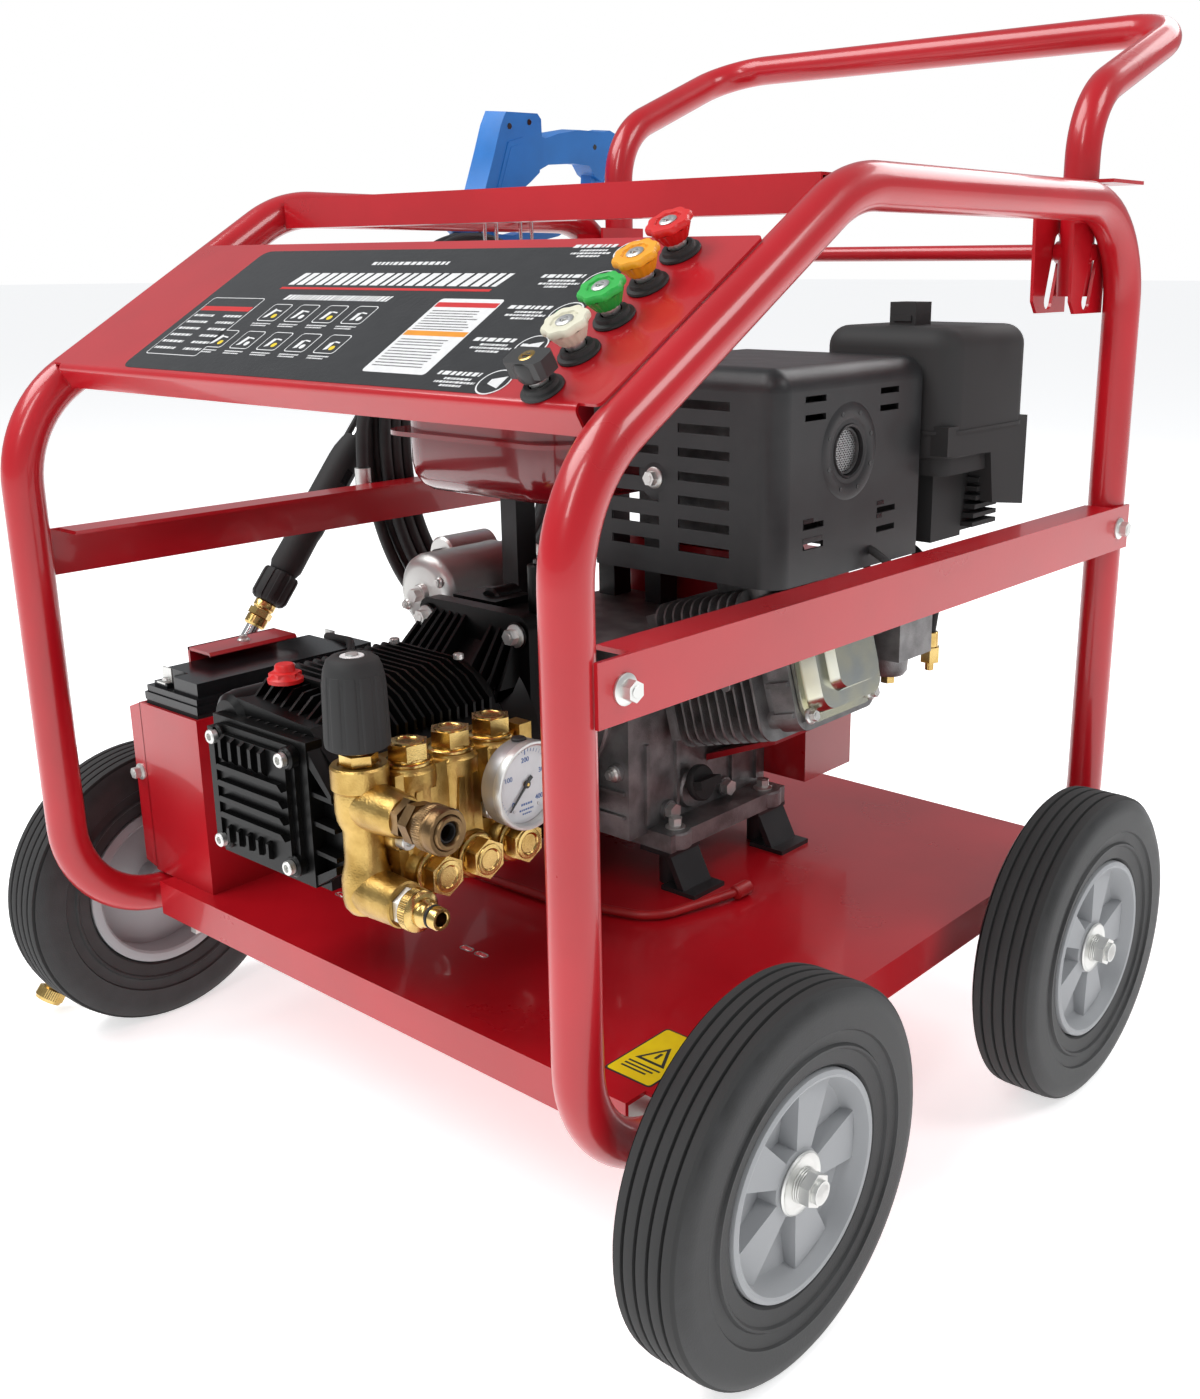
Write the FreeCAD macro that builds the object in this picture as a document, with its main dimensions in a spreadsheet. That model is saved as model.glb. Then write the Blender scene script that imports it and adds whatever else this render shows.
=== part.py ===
"""Petrol pressure washer on a four-wheeled tube frame, millimetres, +Z up.

+X is the side with the pump's fittings, -Y is the front with the sloping panel.
The row origin is on the floor under the middle of the whole machine; the frame's own
middle, between the wheels, is at (frame_x, frame_y, 0).
"""
import FreeCAD, Part
import math
import os
import re
from types import SimpleNamespace

V = FreeCAD.Vector
doc = FreeCAD.newDocument("pressure_washer")
sheet = doc.addObject("Spreadsheet::Sheet", "Dims")

# alias, value, what it is. All places are from the frame's middle on the floor.
DIMENSIONS = [
    ("frame_x", 22.24, "frame middle in the row frame"),
    ("frame_y", -104.75, "frame middle in the row frame"),
    ("tube_r", 16.0, "frame tube outside radius"),
    ("tube_wall", 2.0, "frame tube wall"),
    ("hoop_x", 304.0, "hoop plane either side of the middle"),
    ("post_front_y", -329.0, "front post axis"),
    ("post_rear_y", 372.0, "rear post axis"),
    ("hoop_low_z", 150.0, "lowest run of a hoop"),
    ("slope_low_z", 584.5, "front post meets the slope"),
    ("slope_top_y", -60.3, "slope meets the top run"),
    ("hoop_top_z", 749.0, "top run of a hoop"),
    ("deck_half", 308.0, "deck half width"),
    ("deck_front", -262.0, "deck front edge"),
    ("deck_rear", 353.0, "deck rear edge"),
    ("deck_top", 169.0, "deck top face"),
    ("deck_fold", 31.0, "depth of the deck's folded edges"),
    ("sheet_gauge", 3.0, "sheet steel thickness"),
    ("wheel_r", 133.5, "tyre outside radius"),
    ("wheel_y", 217.0, "axle to middle"),
    ("wheel_in", 342.0, "tyre inner face"),
    ("wheel_out", 400.0, "tyre outer face"),
    ("rim_r", 77.0, "hub rim radius"),
    ("axle_r", 8.0, "axle radius"),
    ("axle_fit", 0.05, "radial running clearance of a hub on its axle"),
    ("rail_low", 451.0, "side rail lower edge"),
    ("rail_high", 490.0, "side rail upper edge"),
    ("panel_half", 300.0, "panel half width"),
    ("panel_low", 46.0, "panel lower edge along the slope"),
    ("panel_high", 224.0, "panel upper edge along the slope"),
    ("nozzle_x", 249.0, "row of spray nozzles"),
    ("nozzle_first", 60.0, "lowest nozzle along the slope"),
    ("nozzle_step", 36.0, "nozzle spacing"),
    ("handle_r", 15.0, "handle tube outside radius"),
    ("handle_x", 268.5, "handle leg to middle"),
    ("handle_y", 350.0, "handle leg axis"),
    ("handle_low", 672.0, "foot of a handle leg"),
    ("handle_bend", 833.0, "handle leg turns back"),
    ("grip_y", 545.0, "handle bar axis"),
    ("grip_z", 912.0, "handle bar axis"),
    ("rod_r", 6.9, "handle cross rod radius"),
    ("rod_y", 346.0, "handle cross rod axis"),
    ("rod_z", 709.0, "handle cross rod axis"),
    ("crank_x", -30.0, "crankshaft axis"),
    ("crank_z", 330.0, "crankshaft axis"),
    ("block_front", -10.0, "crankcase front face"),
    ("block_rear", 185.0, "crankcase rear face"),
    ("bore_y", 95.0, "cylinder axis along the crankshaft"),
    ("bore_tilt", 15.0, "cylinder axis above level, degrees"),
    ("pump_front", -312.0, "pump case front face"),
    ("pump_rear", -140.0, "pump case rear face"),
    ("head_x", 50.0, "pump head inner face"),
    ("plunger_y", -231.0, "middle plunger"),
    ("plunger_step", 39.0, "plunger spacing"),
    ("unloader_x", 80.0, "unloader axis"),
    ("unloader_y", -306.0, "unloader axis"),
    ("outlet_z", 345.0, "outlet axis"),
    ("inlet_z", 280.0, "inlet axis"),
    ("socket_r", 6.0, "outlet socket radius"),
    ("spigot_r", 8.0, "inlet spigot radius"),
    ("gauge_r", 33.0, "gauge case radius"),
    ("gauge_y", -201.0, "gauge axis"),
    ("gauge_z", 341.0, "gauge axis"),
    ("coil_y", 200.0, "hose coil middle"),
    ("coil_z", 520.0, "hose coil middle"),
    ("coil_half_y", 155.0, "hose coil outer half width"),
    ("coil_half_z", 215.0, "hose coil outer half height"),
    ("coil_band", 51.0, "hose coil band depth"),
    ("coil_in", -329.0, "hose coil inner side"),
    ("coil_out", -357.0, "hose coil outer side"),
    ("hose_r", 6.0, "hose radius"),
]
ALIASES = {}
for row, (alias, value, note) in enumerate(DIMENSIONS, start=1):
    sheet.set("A%d" % row, note)
    sheet.set("B%d" % row, str(value))
    sheet.setAlias("B%d" % row, alias)
doc.recompute()
for alias, value, note in DIMENSIONS:
    ALIASES[alias] = float(sheet.get(alias))
D = SimpleNamespace(**ALIASES)

NODES = {}                                     # node name -> document object
TURN = {"z": FreeCAD.Rotation(), "x": FreeCAD.Rotation(V(0, 1, 0), 90),
        "-x": FreeCAD.Rotation(V(0, 1, 0), -90), "y": FreeCAD.Rotation(V(1, 0, 0), -90),
        "-y": FreeCAD.Rotation(V(1, 0, 0), 90), "-z": FreeCAD.Rotation(V(1, 0, 0), 180)}


def bound(text):
    """Point every alias in an expression at the dimensions sheet."""
    link = lambda m: "Dims." + m.group(0) if m.group(0) in ALIASES else m.group(0)
    return re.sub(r"[a-z_]+", link, str(text))


def place(thing, at, axis="z"):
    """Stand an object at a point given from the frame's middle, with its own z along axis."""
    thing.Placement = FreeCAD.Placement(V(), TURN[axis])
    for letter, shift, text in zip("xyz", ("frame_x + ", "frame_y + ", ""), at):
        thing.setExpression("Placement.Base." + letter, bound("%s(%s)" % (shift, text)))
    return thing


def primitive(kind, at, axis="z", **sizes):
    thing = doc.addObject("Part::" + kind, kind.lower())
    for name, text in sizes.items():
        thing.setExpression(name, bound(text))
    return place(thing, at, axis)


def cyl(r, h, at, axis="z"):
    return primitive("Cylinder", at, axis, Radius=r, Height=h)


def box(dx, dy, dz, at):
    """A box on the middle of its lower face."""
    x, y, z = at
    low = ("(%s) - (%s) / 2" % (x, dx), "(%s) - (%s) / 2" % (y, dy), z)
    return primitive("Box", low, Length=dx, Width=dy, Height=dz)


def hexagon(flats, h, at, axis="z"):
    return primitive("Prism", at, axis, Polygon=6, Circumradius="(%s) / 1.732" % flats, Height=h)


def ring(r, hole, h, at, axis="z"):
    return cut(cyl(r, h, at, axis), cyl(hole, h, at, axis))


def cut(base, *tools):
    thing = doc.addObject("Part::Cut", "cut")
    thing.Base = base
    thing.Tool = tools[0] if len(tools) == 1 else group(tools)
    return thing


def fuse(*parts):
    thing = doc.addObject("Part::MultiFuse", "fuse")
    thing.Shapes = list(parts)
    return thing


def group(parts):
    """Separate solids kept as one object."""
    thing = doc.addObject("Part::Compound", "group")
    thing.Links = list(parts)
    return thing


def rounded(base, r, edges=None):
    """Fillet every edge of a solid, or only the numbered ones."""
    doc.recompute()
    thing = doc.addObject("Part::Fillet", "rounded")
    thing.Base = base
    numbers = edges or range(1, len(base.Shape.Edges) + 1)
    thing.Edges = [(number, r, r) for number in numbers]
    return thing


def upright_edges(base):
    """Numbers of a solid's vertical edges."""
    doc.recompute()
    found = []
    for number, edge in enumerate(base.Shape.Edges, start=1):
        ends = [v.Point for v in edge.Vertexes]
        if len(ends) == 2 and abs(ends[0].x - ends[1].x) + abs(ends[0].y - ends[1].y) < 0.01:
            found.append(number)
    return found


def made(shape, name="made"):
    """Keep a shape that is drawn from the frame's middle."""
    thing = doc.addObject("Part::Feature", name)
    lies = shape.Placement
    thing.Shape = shape
    thing.Placement = FreeCAD.Placement(V(D.frame_x, D.frame_y, 0), FreeCAD.Rotation()).multiply(lies)
    return thing


def node(name, thing):
    thing.Label = name
    NODES[name] = thing
    return thing


def rounded_path(points, radii):
    """Straight runs joined by tangent arcs, one radius for each inner point."""
    edges = []
    start = V(*points[0])
    for here, after, r in zip(points[1:-1], points[2:], radii):
        corner = V(*here)
        back = (start - corner).normalize()
        ahead = (V(*after) - corner).normalize()
        half = back.getAngle(ahead) / 2
        reach = r / math.tan(half)
        enter, leave = corner + back * reach, corner + ahead * reach
        middle = (back + ahead).normalize()
        apex = corner + middle * (r / math.sin(half) - r)
        edges.append(Part.LineSegment(start, enter).toShape())
        edges.append(Part.Arc(enter, apex, leave).toShape())
        start = leave
    edges.append(Part.LineSegment(start, V(*points[-1])).toShape())
    return Part.Wire(edges)


def swept(points, radii, r, hollow=0.0):
    """A round bar, or a tube when it is hollow, along a rounded path."""
    path = rounded_path(points, radii)
    first = path.Edges[0]
    along = first.tangentAt(first.FirstParameter)

    def bar(radius):
        ring_edge = Part.makeCircle(radius, V(*points[0]), along)
        return path.makePipeShell([Part.Wire([ring_edge])], True, True)
    return bar(r).cut(bar(hollow)) if hollow else bar(r)


def plate(points, axis, low, high):
    """A flat plate: its outline in the two other axes, between two places along one axis."""
    corner = {"x": lambda a, b: V(low, a, b), "y": lambda a, b: V(a, low, b),
              "z": lambda a, b: V(a, b, low)}[axis]
    outline = [corner(a, b) for a, b in points]
    face = Part.Face(Part.makePolygon(outline + outline[:1]))
    step = {"x": V(high - low, 0, 0), "y": V(0, high - low, 0), "z": V(0, 0, high - low)}[axis]
    return face.extrude(step)


def turned(profile, at, axis):
    """A solid of revolution: (radius, height) points about a line through a point."""
    outline = [V(r, 0, h) for r, h in profile]
    solid = Part.Face(Part.makePolygon(outline + outline[:1])).revolve(V(), V(0, 0, 1), 360)
    solid.Placement = FreeCAD.Placement(V(*at), TURN[axis])
    return solid


# ---------------------------------------------------------------- frame

def hoop(side):
    x = side * D.hoop_x
    points = [(x, D.deck_front + 26, D.hoop_low_z), (x, D.post_front_y, D.hoop_low_z),
              (x, D.post_front_y, D.slope_low_z), (x, D.slope_top_y, D.hoop_top_z),
              (x, D.post_rear_y, D.hoop_top_z), (x, D.post_rear_y, D.hoop_low_z),
              (x, D.deck_rear - 78, D.hoop_low_z)]
    return made(swept(points, [86, 100, 110, 85, 75], D.tube_r, D.tube_r - D.tube_wall))


def origin_plane(body, role):
    return [f for f in body.Origin.OriginFeatures if f.Role == role][0]


def sketch_on(body, role, name):
    sketch = body.newObject("Sketcher::SketchObject", name)
    sketch.AttachmentSupport = [(origin_plane(body, role), "")]
    sketch.MapMode = "FlatFace"
    return sketch


def rectangle(sketch, names):
    """A closed rectangle whose four sides are driven by expressions: left, bottom, right, top."""
    corners = [(-10, -10), (10, -10), (10, 10), (-10, 10)]
    for a, b in zip(corners, corners[1:] + corners[:1]):
        sketch.addGeometry(Part.LineSegment(V(*a), V(*b)), False)
    import Sketcher
    first = sketch.GeometryCount - 4
    for k in range(4):
        sketch.addConstraint(Sketcher.Constraint("Coincident", first + k, 2, first + (k + 1) % 4, 1))
    for k, kind in enumerate(("Horizontal", "Vertical", "Horizontal", "Vertical")):
        sketch.addConstraint(Sketcher.Constraint(kind, first + k))
    for kind, point, value, text in (("DistanceX", 0, -10, names[0]), ("DistanceY", 0, -10, names[1]),
                                     ("DistanceX", 2, 10, names[2]), ("DistanceY", 2, 10, names[3])):
        place_of = sketch.addConstraint(Sketcher.Constraint(kind, -1, 1, first + point, 1, value))
        sketch.setExpression("Constraints[%d]" % place_of, bound(text))


def deck():
    """A pressed tray: a padded plate with its underside pocketed and its corners relieved."""
    body = doc.addObject("PartDesign::Body", "DeckBody")
    outer = sketch_on(body, "XY_Plane", "DeckOutline")
    rectangle(outer, ("-deck_half", "deck_front", "deck_half", "deck_rear"))
    slab = body.newObject("PartDesign::Pad", "DeckSlab")
    slab.Profile = outer
    slab.setExpression("Length", bound("deck_fold"))
    doc.recompute()
    under = sketch_on(body, "XY_Plane", "DeckHollow")
    rectangle(under, ("-deck_half + sheet_gauge", "deck_front + sheet_gauge",
                      "deck_half - sheet_gauge", "deck_rear - sheet_gauge"))
    hollow = body.newObject("PartDesign::Pocket", "DeckUnderside")
    hollow.Profile = under
    hollow.setExpression("Length", bound("deck_fold - sheet_gauge"))
    hollow.Reversed = True
    doc.recompute()
    corner = 24.0
    notches = sketch_on(body, "XY_Plane", "DeckNotches")
    for side in (-1, 1):
        inner, outer_x = "deck_half - %g" % corner, "deck_half + 5"
        left, right = (inner, outer_x) if side > 0 else ("-(%s)" % outer_x, "-(%s)" % inner)
        rectangle(notches, (left, "deck_rear - 79", right, "deck_rear + 5"))
    relief = body.newObject("PartDesign::Pocket", "DeckRelief")
    relief.Profile = notches
    relief.Type = "ThroughAll"
    relief.Midplane = True
    doc.recompute()
    body.Tip = relief
    place(body, (0, 0, "deck_top - deck_fold"))
    holes = []
    for side in (-1, 1):
        end = "%d * (deck_half - 10)" % side
        holes.append(box(30, 30, "deck_fold - sheet_gauge + 0.1",
                         (end, "deck_front + 11.5", "deck_top - deck_fold - 0.1")))
        holes.append(box(34, 24, "deck_fold + 1", (end, "deck_front + 8", "deck_top - deck_fold - 0.1")))
        for end_y in (-1, 1):
            holes.append(box(12, 22, 24, ("%d * (deck_half - 1)" % side, "%d * wheel_y" % end_y,
                                         "deck_top - deck_fold - 10")))
        for step in (0, 17):
            middle = ("%d * 81.5 - 50 + %d" % (side, step), "-176", "deck_top - 10")
            holes += [box(7, 5, 20, middle)] + [cyl(2.5, 20, (middle[0] + shift,) + middle[1:])
                                                for shift in (" - 3.5", " + 3.5")]
    return cut(body, *holes)


def frame_bars():
    """The top cross bar and the two side rails, each an angle bolted or welded to the hoops."""
    reach = D.hoop_x - D.tube_r
    bar = Part.makeBox(2 * reach, 20, 25, V(-reach, D.slope_top_y - 10, 732))
    bar = bar.cut(Part.makeBox(2 * reach, 16, 21, V(-reach, D.slope_top_y - 8, 734)))
    bars = [bar]
    for side in (-1, 1):
        face = side * (D.hoop_x + D.tube_r)
        front, rear = D.post_front_y + 4, D.post_rear_y + 8
        web = Part.makeBox(3, rear - front, D.rail_high - D.rail_low,
                           V(min(face, face + side * 3), front, D.rail_low))
        ledge_in = face - side * 26
        ledge = Part.makeBox(26, rear - front - 60, 3,
                             V(min(face, ledge_in), front + 30, D.rail_high - 3))
        bars.append(web.fuse(ledge))
    return group([made(b) for b in bars])


SLOPE = math.atan2(D.hoop_top_z - D.slope_low_z, D.slope_top_y - D.post_front_y)


def on_slope(x, along, lift):
    """A point over the sloping tubes: x, distance up the slope, height above the tube axes."""
    return V(x, D.post_front_y + along * math.cos(SLOPE) - lift * math.sin(SLOPE),
             D.slope_low_z + along * math.sin(SLOPE) + lift * math.cos(SLOPE))


def slope_place(x, along, lift):
    turn = FreeCAD.Rotation(V(1, 0, 0), math.degrees(SLOPE))
    return FreeCAD.Placement(on_slope(x, along, lift), turn)


def nozzle_places():
    return [D.nozzle_first + D.nozzle_step * k for k in range(5)]


def control_panel():
    """The sloping sheet over the front tubes, with a turned-down lip and five holes."""
    half, low, high, thick = D.panel_half, D.panel_low, D.panel_high, 2.0
    cut_in = D.hoop_x - D.tube_r - 2
    outline = [(-half, low + 6), (-cut_in, low), (cut_in, low), (half, low + 6), (half, high),
               (-half, high)]
    flat = plate(outline, "z", 0, thick)
    lip = Part.makeBox(2 * cut_in, thick, 20, V(-cut_in, low, -20 + thick))
    panel = flat.fuse(lip)
    for along in nozzle_places():
        panel = panel.cut(Part.makeCylinder(10, 10, V(D.nozzle_x, along, -4)))
    panel.Placement = slope_place(0, 0, D.tube_r)
    return made(panel.removeSplitter())


PANEL_TOP = D.tube_r + 2


def panel_grommets():
    rings = []
    for along in nozzle_places():
        outline = [(6.5, -6), (9.9, -6), (9.9, 0), (15.5, 0), (15.5, 2.5), (12, 6), (6.5, 6)]
        grommet = turned(outline, (0, 0, 0), "z")
        grommet.Placement = slope_place(D.nozzle_x, along, PANEL_TOP)
        rings.append(made(grommet))
    return group(rings)


def nozzle(along, facets):
    stem = turned([(0, -14), (5.4, -14), (6, -10), (6, 9), (8.5, 10), (8.5, 12), (0, 12)], (0, 0, 0), "z")
    cap = Part.makePolygon([V(14 * math.cos(math.radians(a)), 14 * math.sin(math.radians(a)), 12)
                            for a in range(0, 361, 360 // facets)])
    cap = Part.Face(cap).extrude(V(0, 0, 12))
    whole = stem.fuse(cap)
    whole.Placement = slope_place(D.nozzle_x, along, PANEL_TOP)
    return made(whole)


def handle_brackets():
    """Two slotted plates and a stop plate at each rear top corner."""
    lean = math.atan2(14.0, 50.0)
    slot_r = 7.5
    plates = []
    for side in (-1, 1):
        for centre in (D.handle_x - 17.5, D.handle_x + 17.5):
            low = side * centre - 1.5
            top = 732 if centre > D.handle_x else 738
            sheet_plate = plate([(303, top), (306, 668), (314, 658), (368, 658), (368, top)],
                                "x", low, low + 3)
            bottom, head = V(low - 1, 334.5, 668), V(low - 1, 348.5, 717.5)
            slot = Part.makeCylinder(slot_r, 5, bottom, V(1, 0, 0))
            slot = slot.fuse(Part.makeCylinder(slot_r, 5, head, V(1, 0, 0)))
            across = V(0, math.cos(lean), -math.sin(lean)) * slot_r
            ends = [bottom - across, bottom + across, head + across, head - across]
            slot = slot.fuse(Part.Face(Part.makePolygon(ends + ends[:1])).extrude(V(5, 0, 0)))
            plates.append(sheet_plate.cut(slot))
        inner, outer = side * (D.handle_x - 21), side * (D.handle_x + 36)
        stop = Part.makeBox(abs(outer - inner), 62, 3, V(min(inner, outer), 336, 765.2))
        notch = Part.makeBox(34, 36, 5, V(side * D.handle_x - 17, 334, 764))
        plates.append(stop.cut(notch))
    return group([made(p) for p in plates])


def push_handle():
    x = D.handle_x
    points = [(-x, D.handle_y, D.handle_low), (-x, D.handle_y, D.handle_bend),
              (-x, D.grip_y, D.grip_z), (x, D.grip_y, D.grip_z),
              (x, D.handle_y, D.handle_bend), (x, D.handle_y, D.handle_low)]
    tube = swept(points, [70, 55, 55, 70], D.handle_r, D.handle_r - D.tube_wall)
    for side in (-1, 1):
        tube = tube.cut(Part.makeCylinder(D.rod_r + 0.06, 40, V(side * x - 20, D.rod_y, D.rod_z),
                                          V(1, 0, 0)))
    return made(tube)


def handle_rod():
    return cyl("rod_r", "2 * (handle_x + 19)", ("-handle_x - 19", "rod_y", "rod_z"), "x")


def hanger_hooks():
    """Two double-wire hooks over the left top run; the hose coil hangs on their lower arms."""
    hooks = []
    high, low = D.hoop_top_z + 3, D.coil_z + D.coil_half_z - D.coil_band - 13
    for y in (D.coil_y - 25, D.coil_y + 25):
        for dy in (-8, 8):
            points = [(-285.8, y + dy, high), (-285.8, y + dy, low), (-360, y + dy, low - 1),
                      (-363, y + dy, low + 20)]
            hooks.append(made(swept(points, [8, 6], 2.0)))
    return group(hooks)


def wheel(side, end):
    """The tyre and the spoked hub of one wheel, turned about its axle."""
    y = end * D.wheel_y
    width = D.wheel_out - D.wheel_in
    r, rim = D.wheel_r, D.rim_r
    start = (side * D.wheel_in, y, r)
    axis = "x" if side > 0 else "-x"
    groove = [(r, 8), (r - 1, 4), (r - 12, 0), (rim + 14, -2), (rim, 4), (rim, width - 4),
              (rim + 14, width + 2), (r - 12, width), (r - 1, width - 4), (r, width - 8)]
    for k in range(4):
        at = width - 15 - k * (width - 30) / 3
        groove += [(r, at + 1.5), (r - 3, at + 1), (r - 3, at - 1), (r, at - 1.5)]
    tyre = turned(groove, start, axis)
    fit = D.axle_r + D.axle_fit
    hub = turned([(fit, 2), (20, 2), (20, 18), (26, 24), (62, 24), (66, 5), (rim - 0.2, 5),
                  (rim - 0.2, width - 5), (72, width - 5), (68, width - 11), (26, width - 15),
                  (22, width - 9), (fit, width - 9)], start, axis)
    for k in range(5):
        pocket = plate([(31, -5), (64, -24), (69, -15), (70, 0), (69, 15), (64, 24), (31, 5)],
                       "z", width - 30, width)
        pocket.rotate(V(), V(0, 0, 1), 72 * k + 18)
        pocket.Placement = FreeCAD.Placement(V(*start), TURN[axis]).multiply(pocket.Placement)
        hub = hub.cut(pocket)
    return made(tyre), made(hub)


def axles():
    """Two through axles and the four plates that carry them under the deck."""
    parts = []
    for end in (-1, 1):
        y = "%d * wheel_y" % end
        parts.append(cyl("axle_r", "2 * (wheel_out + 8)", ("-wheel_out - 8", y, "wheel_r"), "x"))
        for side in (-1, 1):
            hanger = box(8, 56, 48, ("%d * 262" % side, y, "deck_top - sheet_gauge - 48"))
            collar = ring(13, "axle_r + 0.02", 26, ("%d * 326 - 13" % side, y, "wheel_r"), "x")
            hole = cyl("axle_r + 0.02", 20, ("%d * 262 - 10" % side, y, "wheel_r"), "x")
            parts += [cut(hanger, hole), collar]
    return group(parts)


def bolt(at, axis, flats, shank=6.0, hole=0):
    """A hexagon head or nut on a washer; its stem is left to the part it clamps."""
    x, y, z = at
    step = {"x": (1, 0, 0), "-x": (-1, 0, 0), "y": (0, 1, 0), "-y": (0, -1, 0), "z": (0, 0, 1)}[axis]
    head_at = tuple("%s + %g" % (c, s * 1.6) for c, s in zip(at, step))
    head = fuse(cyl(flats * 0.72, 1.6, at, axis), hexagon(flats, shank, head_at, axis))
    return cut(head, cyl(hole, shank + 3, at, axis)) if hole else head


def fasteners():
    """Zinc nuts and bolts on the frame, the wheels, the box, the bell and the engine's feet."""
    parts = []
    for side, axis in ((1, "x"), (-1, "-x")):
        for y in (-303, 360):
            parts.append(bolt(("%d * (hoop_x + tube_r + 3)" % side, y, "(rail_low + rail_high) / 2"),
                              axis, 12))
        for end in (-1, 1):
            parts.append(bolt(("%d * (wheel_out - 6)" % side, "%d * wheel_y" % end, "wheel_r"),
                              axis, 21, 8, "axle_r + 0.02"))
    for x, z in ((-85, 415), (25, 415), (-85, 247), (25, 247)):
        parts.append(bolt((x, -100, z), "-y", 12))
    for x in (-139, 76):
        for y in (33, 162):
            parts.append(bolt((x, y, 221.4), "z", 11))
    parts.append(bolt((-317, -248, 262), "-y", 10))
    return group(parts)


# ---------------------------------------------------------------- battery

def battery_box():
    """The red tray round the battery, its front ear, and the strap over the top."""
    tray = cut(box(90, 206, 160, (-263, -145, "deck_top")), box(84, 200, 160, (-263, -145, "deck_top + 3")))
    ear = box(18, 3, 156, (-316.5, -246.5, "deck_top + 3"))
    strap = fuse(box(34, 92, 3, (-290, -150, 366)), box(3, 92, 12, (-305.5, -150, 354.5)))
    return group([fuse(tray, ear), strap])


def battery():
    body = box(80, 196, 164, (-263, -145, "deck_top + 3.2"))
    crown = box(59, 187, 22, (-262, -145, "deck_top + 167"))
    tabs = [box(3, 12, 18, (-297, y, "deck_top + 167")) for y in (-232, -60)]
    return fuse(body, rounded(crown, 1.5), *tabs)


def battery_cables():
    """Two leads from the battery along the deck to the starter, with boots at their ends."""
    z = D.deck_top + 5
    red = [(-212, -90, 300), (-208, -90, 250), (-205, -88, z + 20), (-170, -70, z), (-60, -76, z),
           (30, -72, z), (118, -44, z), (142, 40, z + 2)]
    black = [(-212, -62, 300), (-208, -62, 250), (-205, -58, z + 20), (-190, -20, z), (-190, 60, z),
             (-156, 98, z + 2)]
    leads = [made(swept(red, [60, 25, 25, 60, 60, 40, 40], 4)), made(swept(black, [60, 25, 25, 30, 25], 4))]
    return group(leads)


# ---------------------------------------------------------------- engine

def tilted(shape):
    """Lay a shape drawn along +X from the crank axis onto the tilted bore line."""
    shape.rotate(V(), V(0, 1, 0), -D.bore_tilt)
    shape.translate(V(D.crank_x, D.bore_y, D.crank_z))
    return shape


def block(dx, dy, dz, x, y=0.0, z=0.0):
    """A box from x, centred on y and z."""
    return Part.makeBox(dx, dy, dz, V(x, y - dy / 2, z - dz / 2))


def engine_mounts():
    """Folded black feet between the engine and the deck."""
    feet = []
    for side, x in ((-1, -128), (1, 70)):
        for y in (33, 162):
            low = D.deck_top
            flange = Part.makeBox(34, 42, 4, V(x - 17, y - 21, low + 32))
            base = Part.makeBox(38, 42, 4, V(x - 19 + side * 26, y - 21, low))
            lean = [(x + side * 9, low + 35), (x + side * 15, low + 35), (x + side * 33, low + 1),
                    (x + side * 26, low + 1)]
            leg = plate(lean, "y", y - 19, y + 19)
            stub = Part.makeCylinder(10, 34, V(x, y, low))
            feet.append(flange.fuse([base, leg, stub]))
    return group([made(f) for f in feet])


def crankcase():
    """Aluminium block, hollow round the crankshaft, with its feet, side bosses and bore opening."""
    low = D.deck_top + 36.2
    depth = D.block_rear - D.block_front
    middle_y = (D.block_front + D.block_rear) / 2
    outer = Part.makeBox(190, depth, 168, V(D.crank_x - 100, D.block_front, low + 12))
    outer = outer.makeFillet(18, outer.Edges)
    feet = Part.makeBox(236, 168, 16, V(D.crank_x - 118, middle_y - 84, low))
    feet = feet.makeFillet(6, [e for e in feet.Edges if abs(e.tangentAt(0).z) > 0.9])
    solid = outer.fuse(feet)
    for x in (-100, -30, 40):
        solid = solid.fuse(Part.makeBox(6, 12, 120, V(x, D.block_front - 4, low + 30)))
    hollow = Part.makeCylinder(62, depth - 30, V(D.crank_x, D.block_front + 15, D.crank_z), V(0, 1, 0))
    bore = tilted(Part.makeCylinder(46, 130, V(0, 0, 0), V(1, 0, 0)))
    shaft = Part.makeCylinder(17.55, depth + 10, V(D.crank_x, D.block_front - 5, D.crank_z), V(0, 1, 0))
    filler = Part.makeCylinder(11, 40, V(D.crank_x + 70, 72, low + 38), V(1, 0, 0.25))
    neck = Part.makeCylinder(17, 26, V(D.crank_x + 78, 72, low + 40), V(1, 0, 0.25))
    return made(solid.fuse(neck).cut(hollow.fuse([bore, shaft, filler])).removeSplitter())


def cylinder():
    """Finned barrel and head in one casting, along the tilted bore."""
    outer = block(128, 104, 104, 98)
    outer = outer.fuse(block(26, 112, 118, 200))
    for k in range(9):
        outer = outer.fuse(block(3, 134, 132, 106 + k * 11))
    bore = Part.makeCylinder(44, 102, V(98, 0, 0), V(1, 0, 0))
    casting = tilted(outer.cut(bore))
    envelope = Part.makeBox(190, 195, 168, V(D.crank_x - 100, D.block_front, D.deck_top + 48.2))
    return made(casting.cut(envelope))


def valve_cover():
    cover = block(24, 96, 104, 226.2)
    cover = cover.makeFillet(9, [e for e in cover.Edges if e.CenterOfMass.x > 240])
    brim = block(3, 106, 114, 226.2)
    return made(tilted(cover.fuse(brim)))


def rope_place():
    return D.crank_x - 66, D.crank_z + 50


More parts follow.
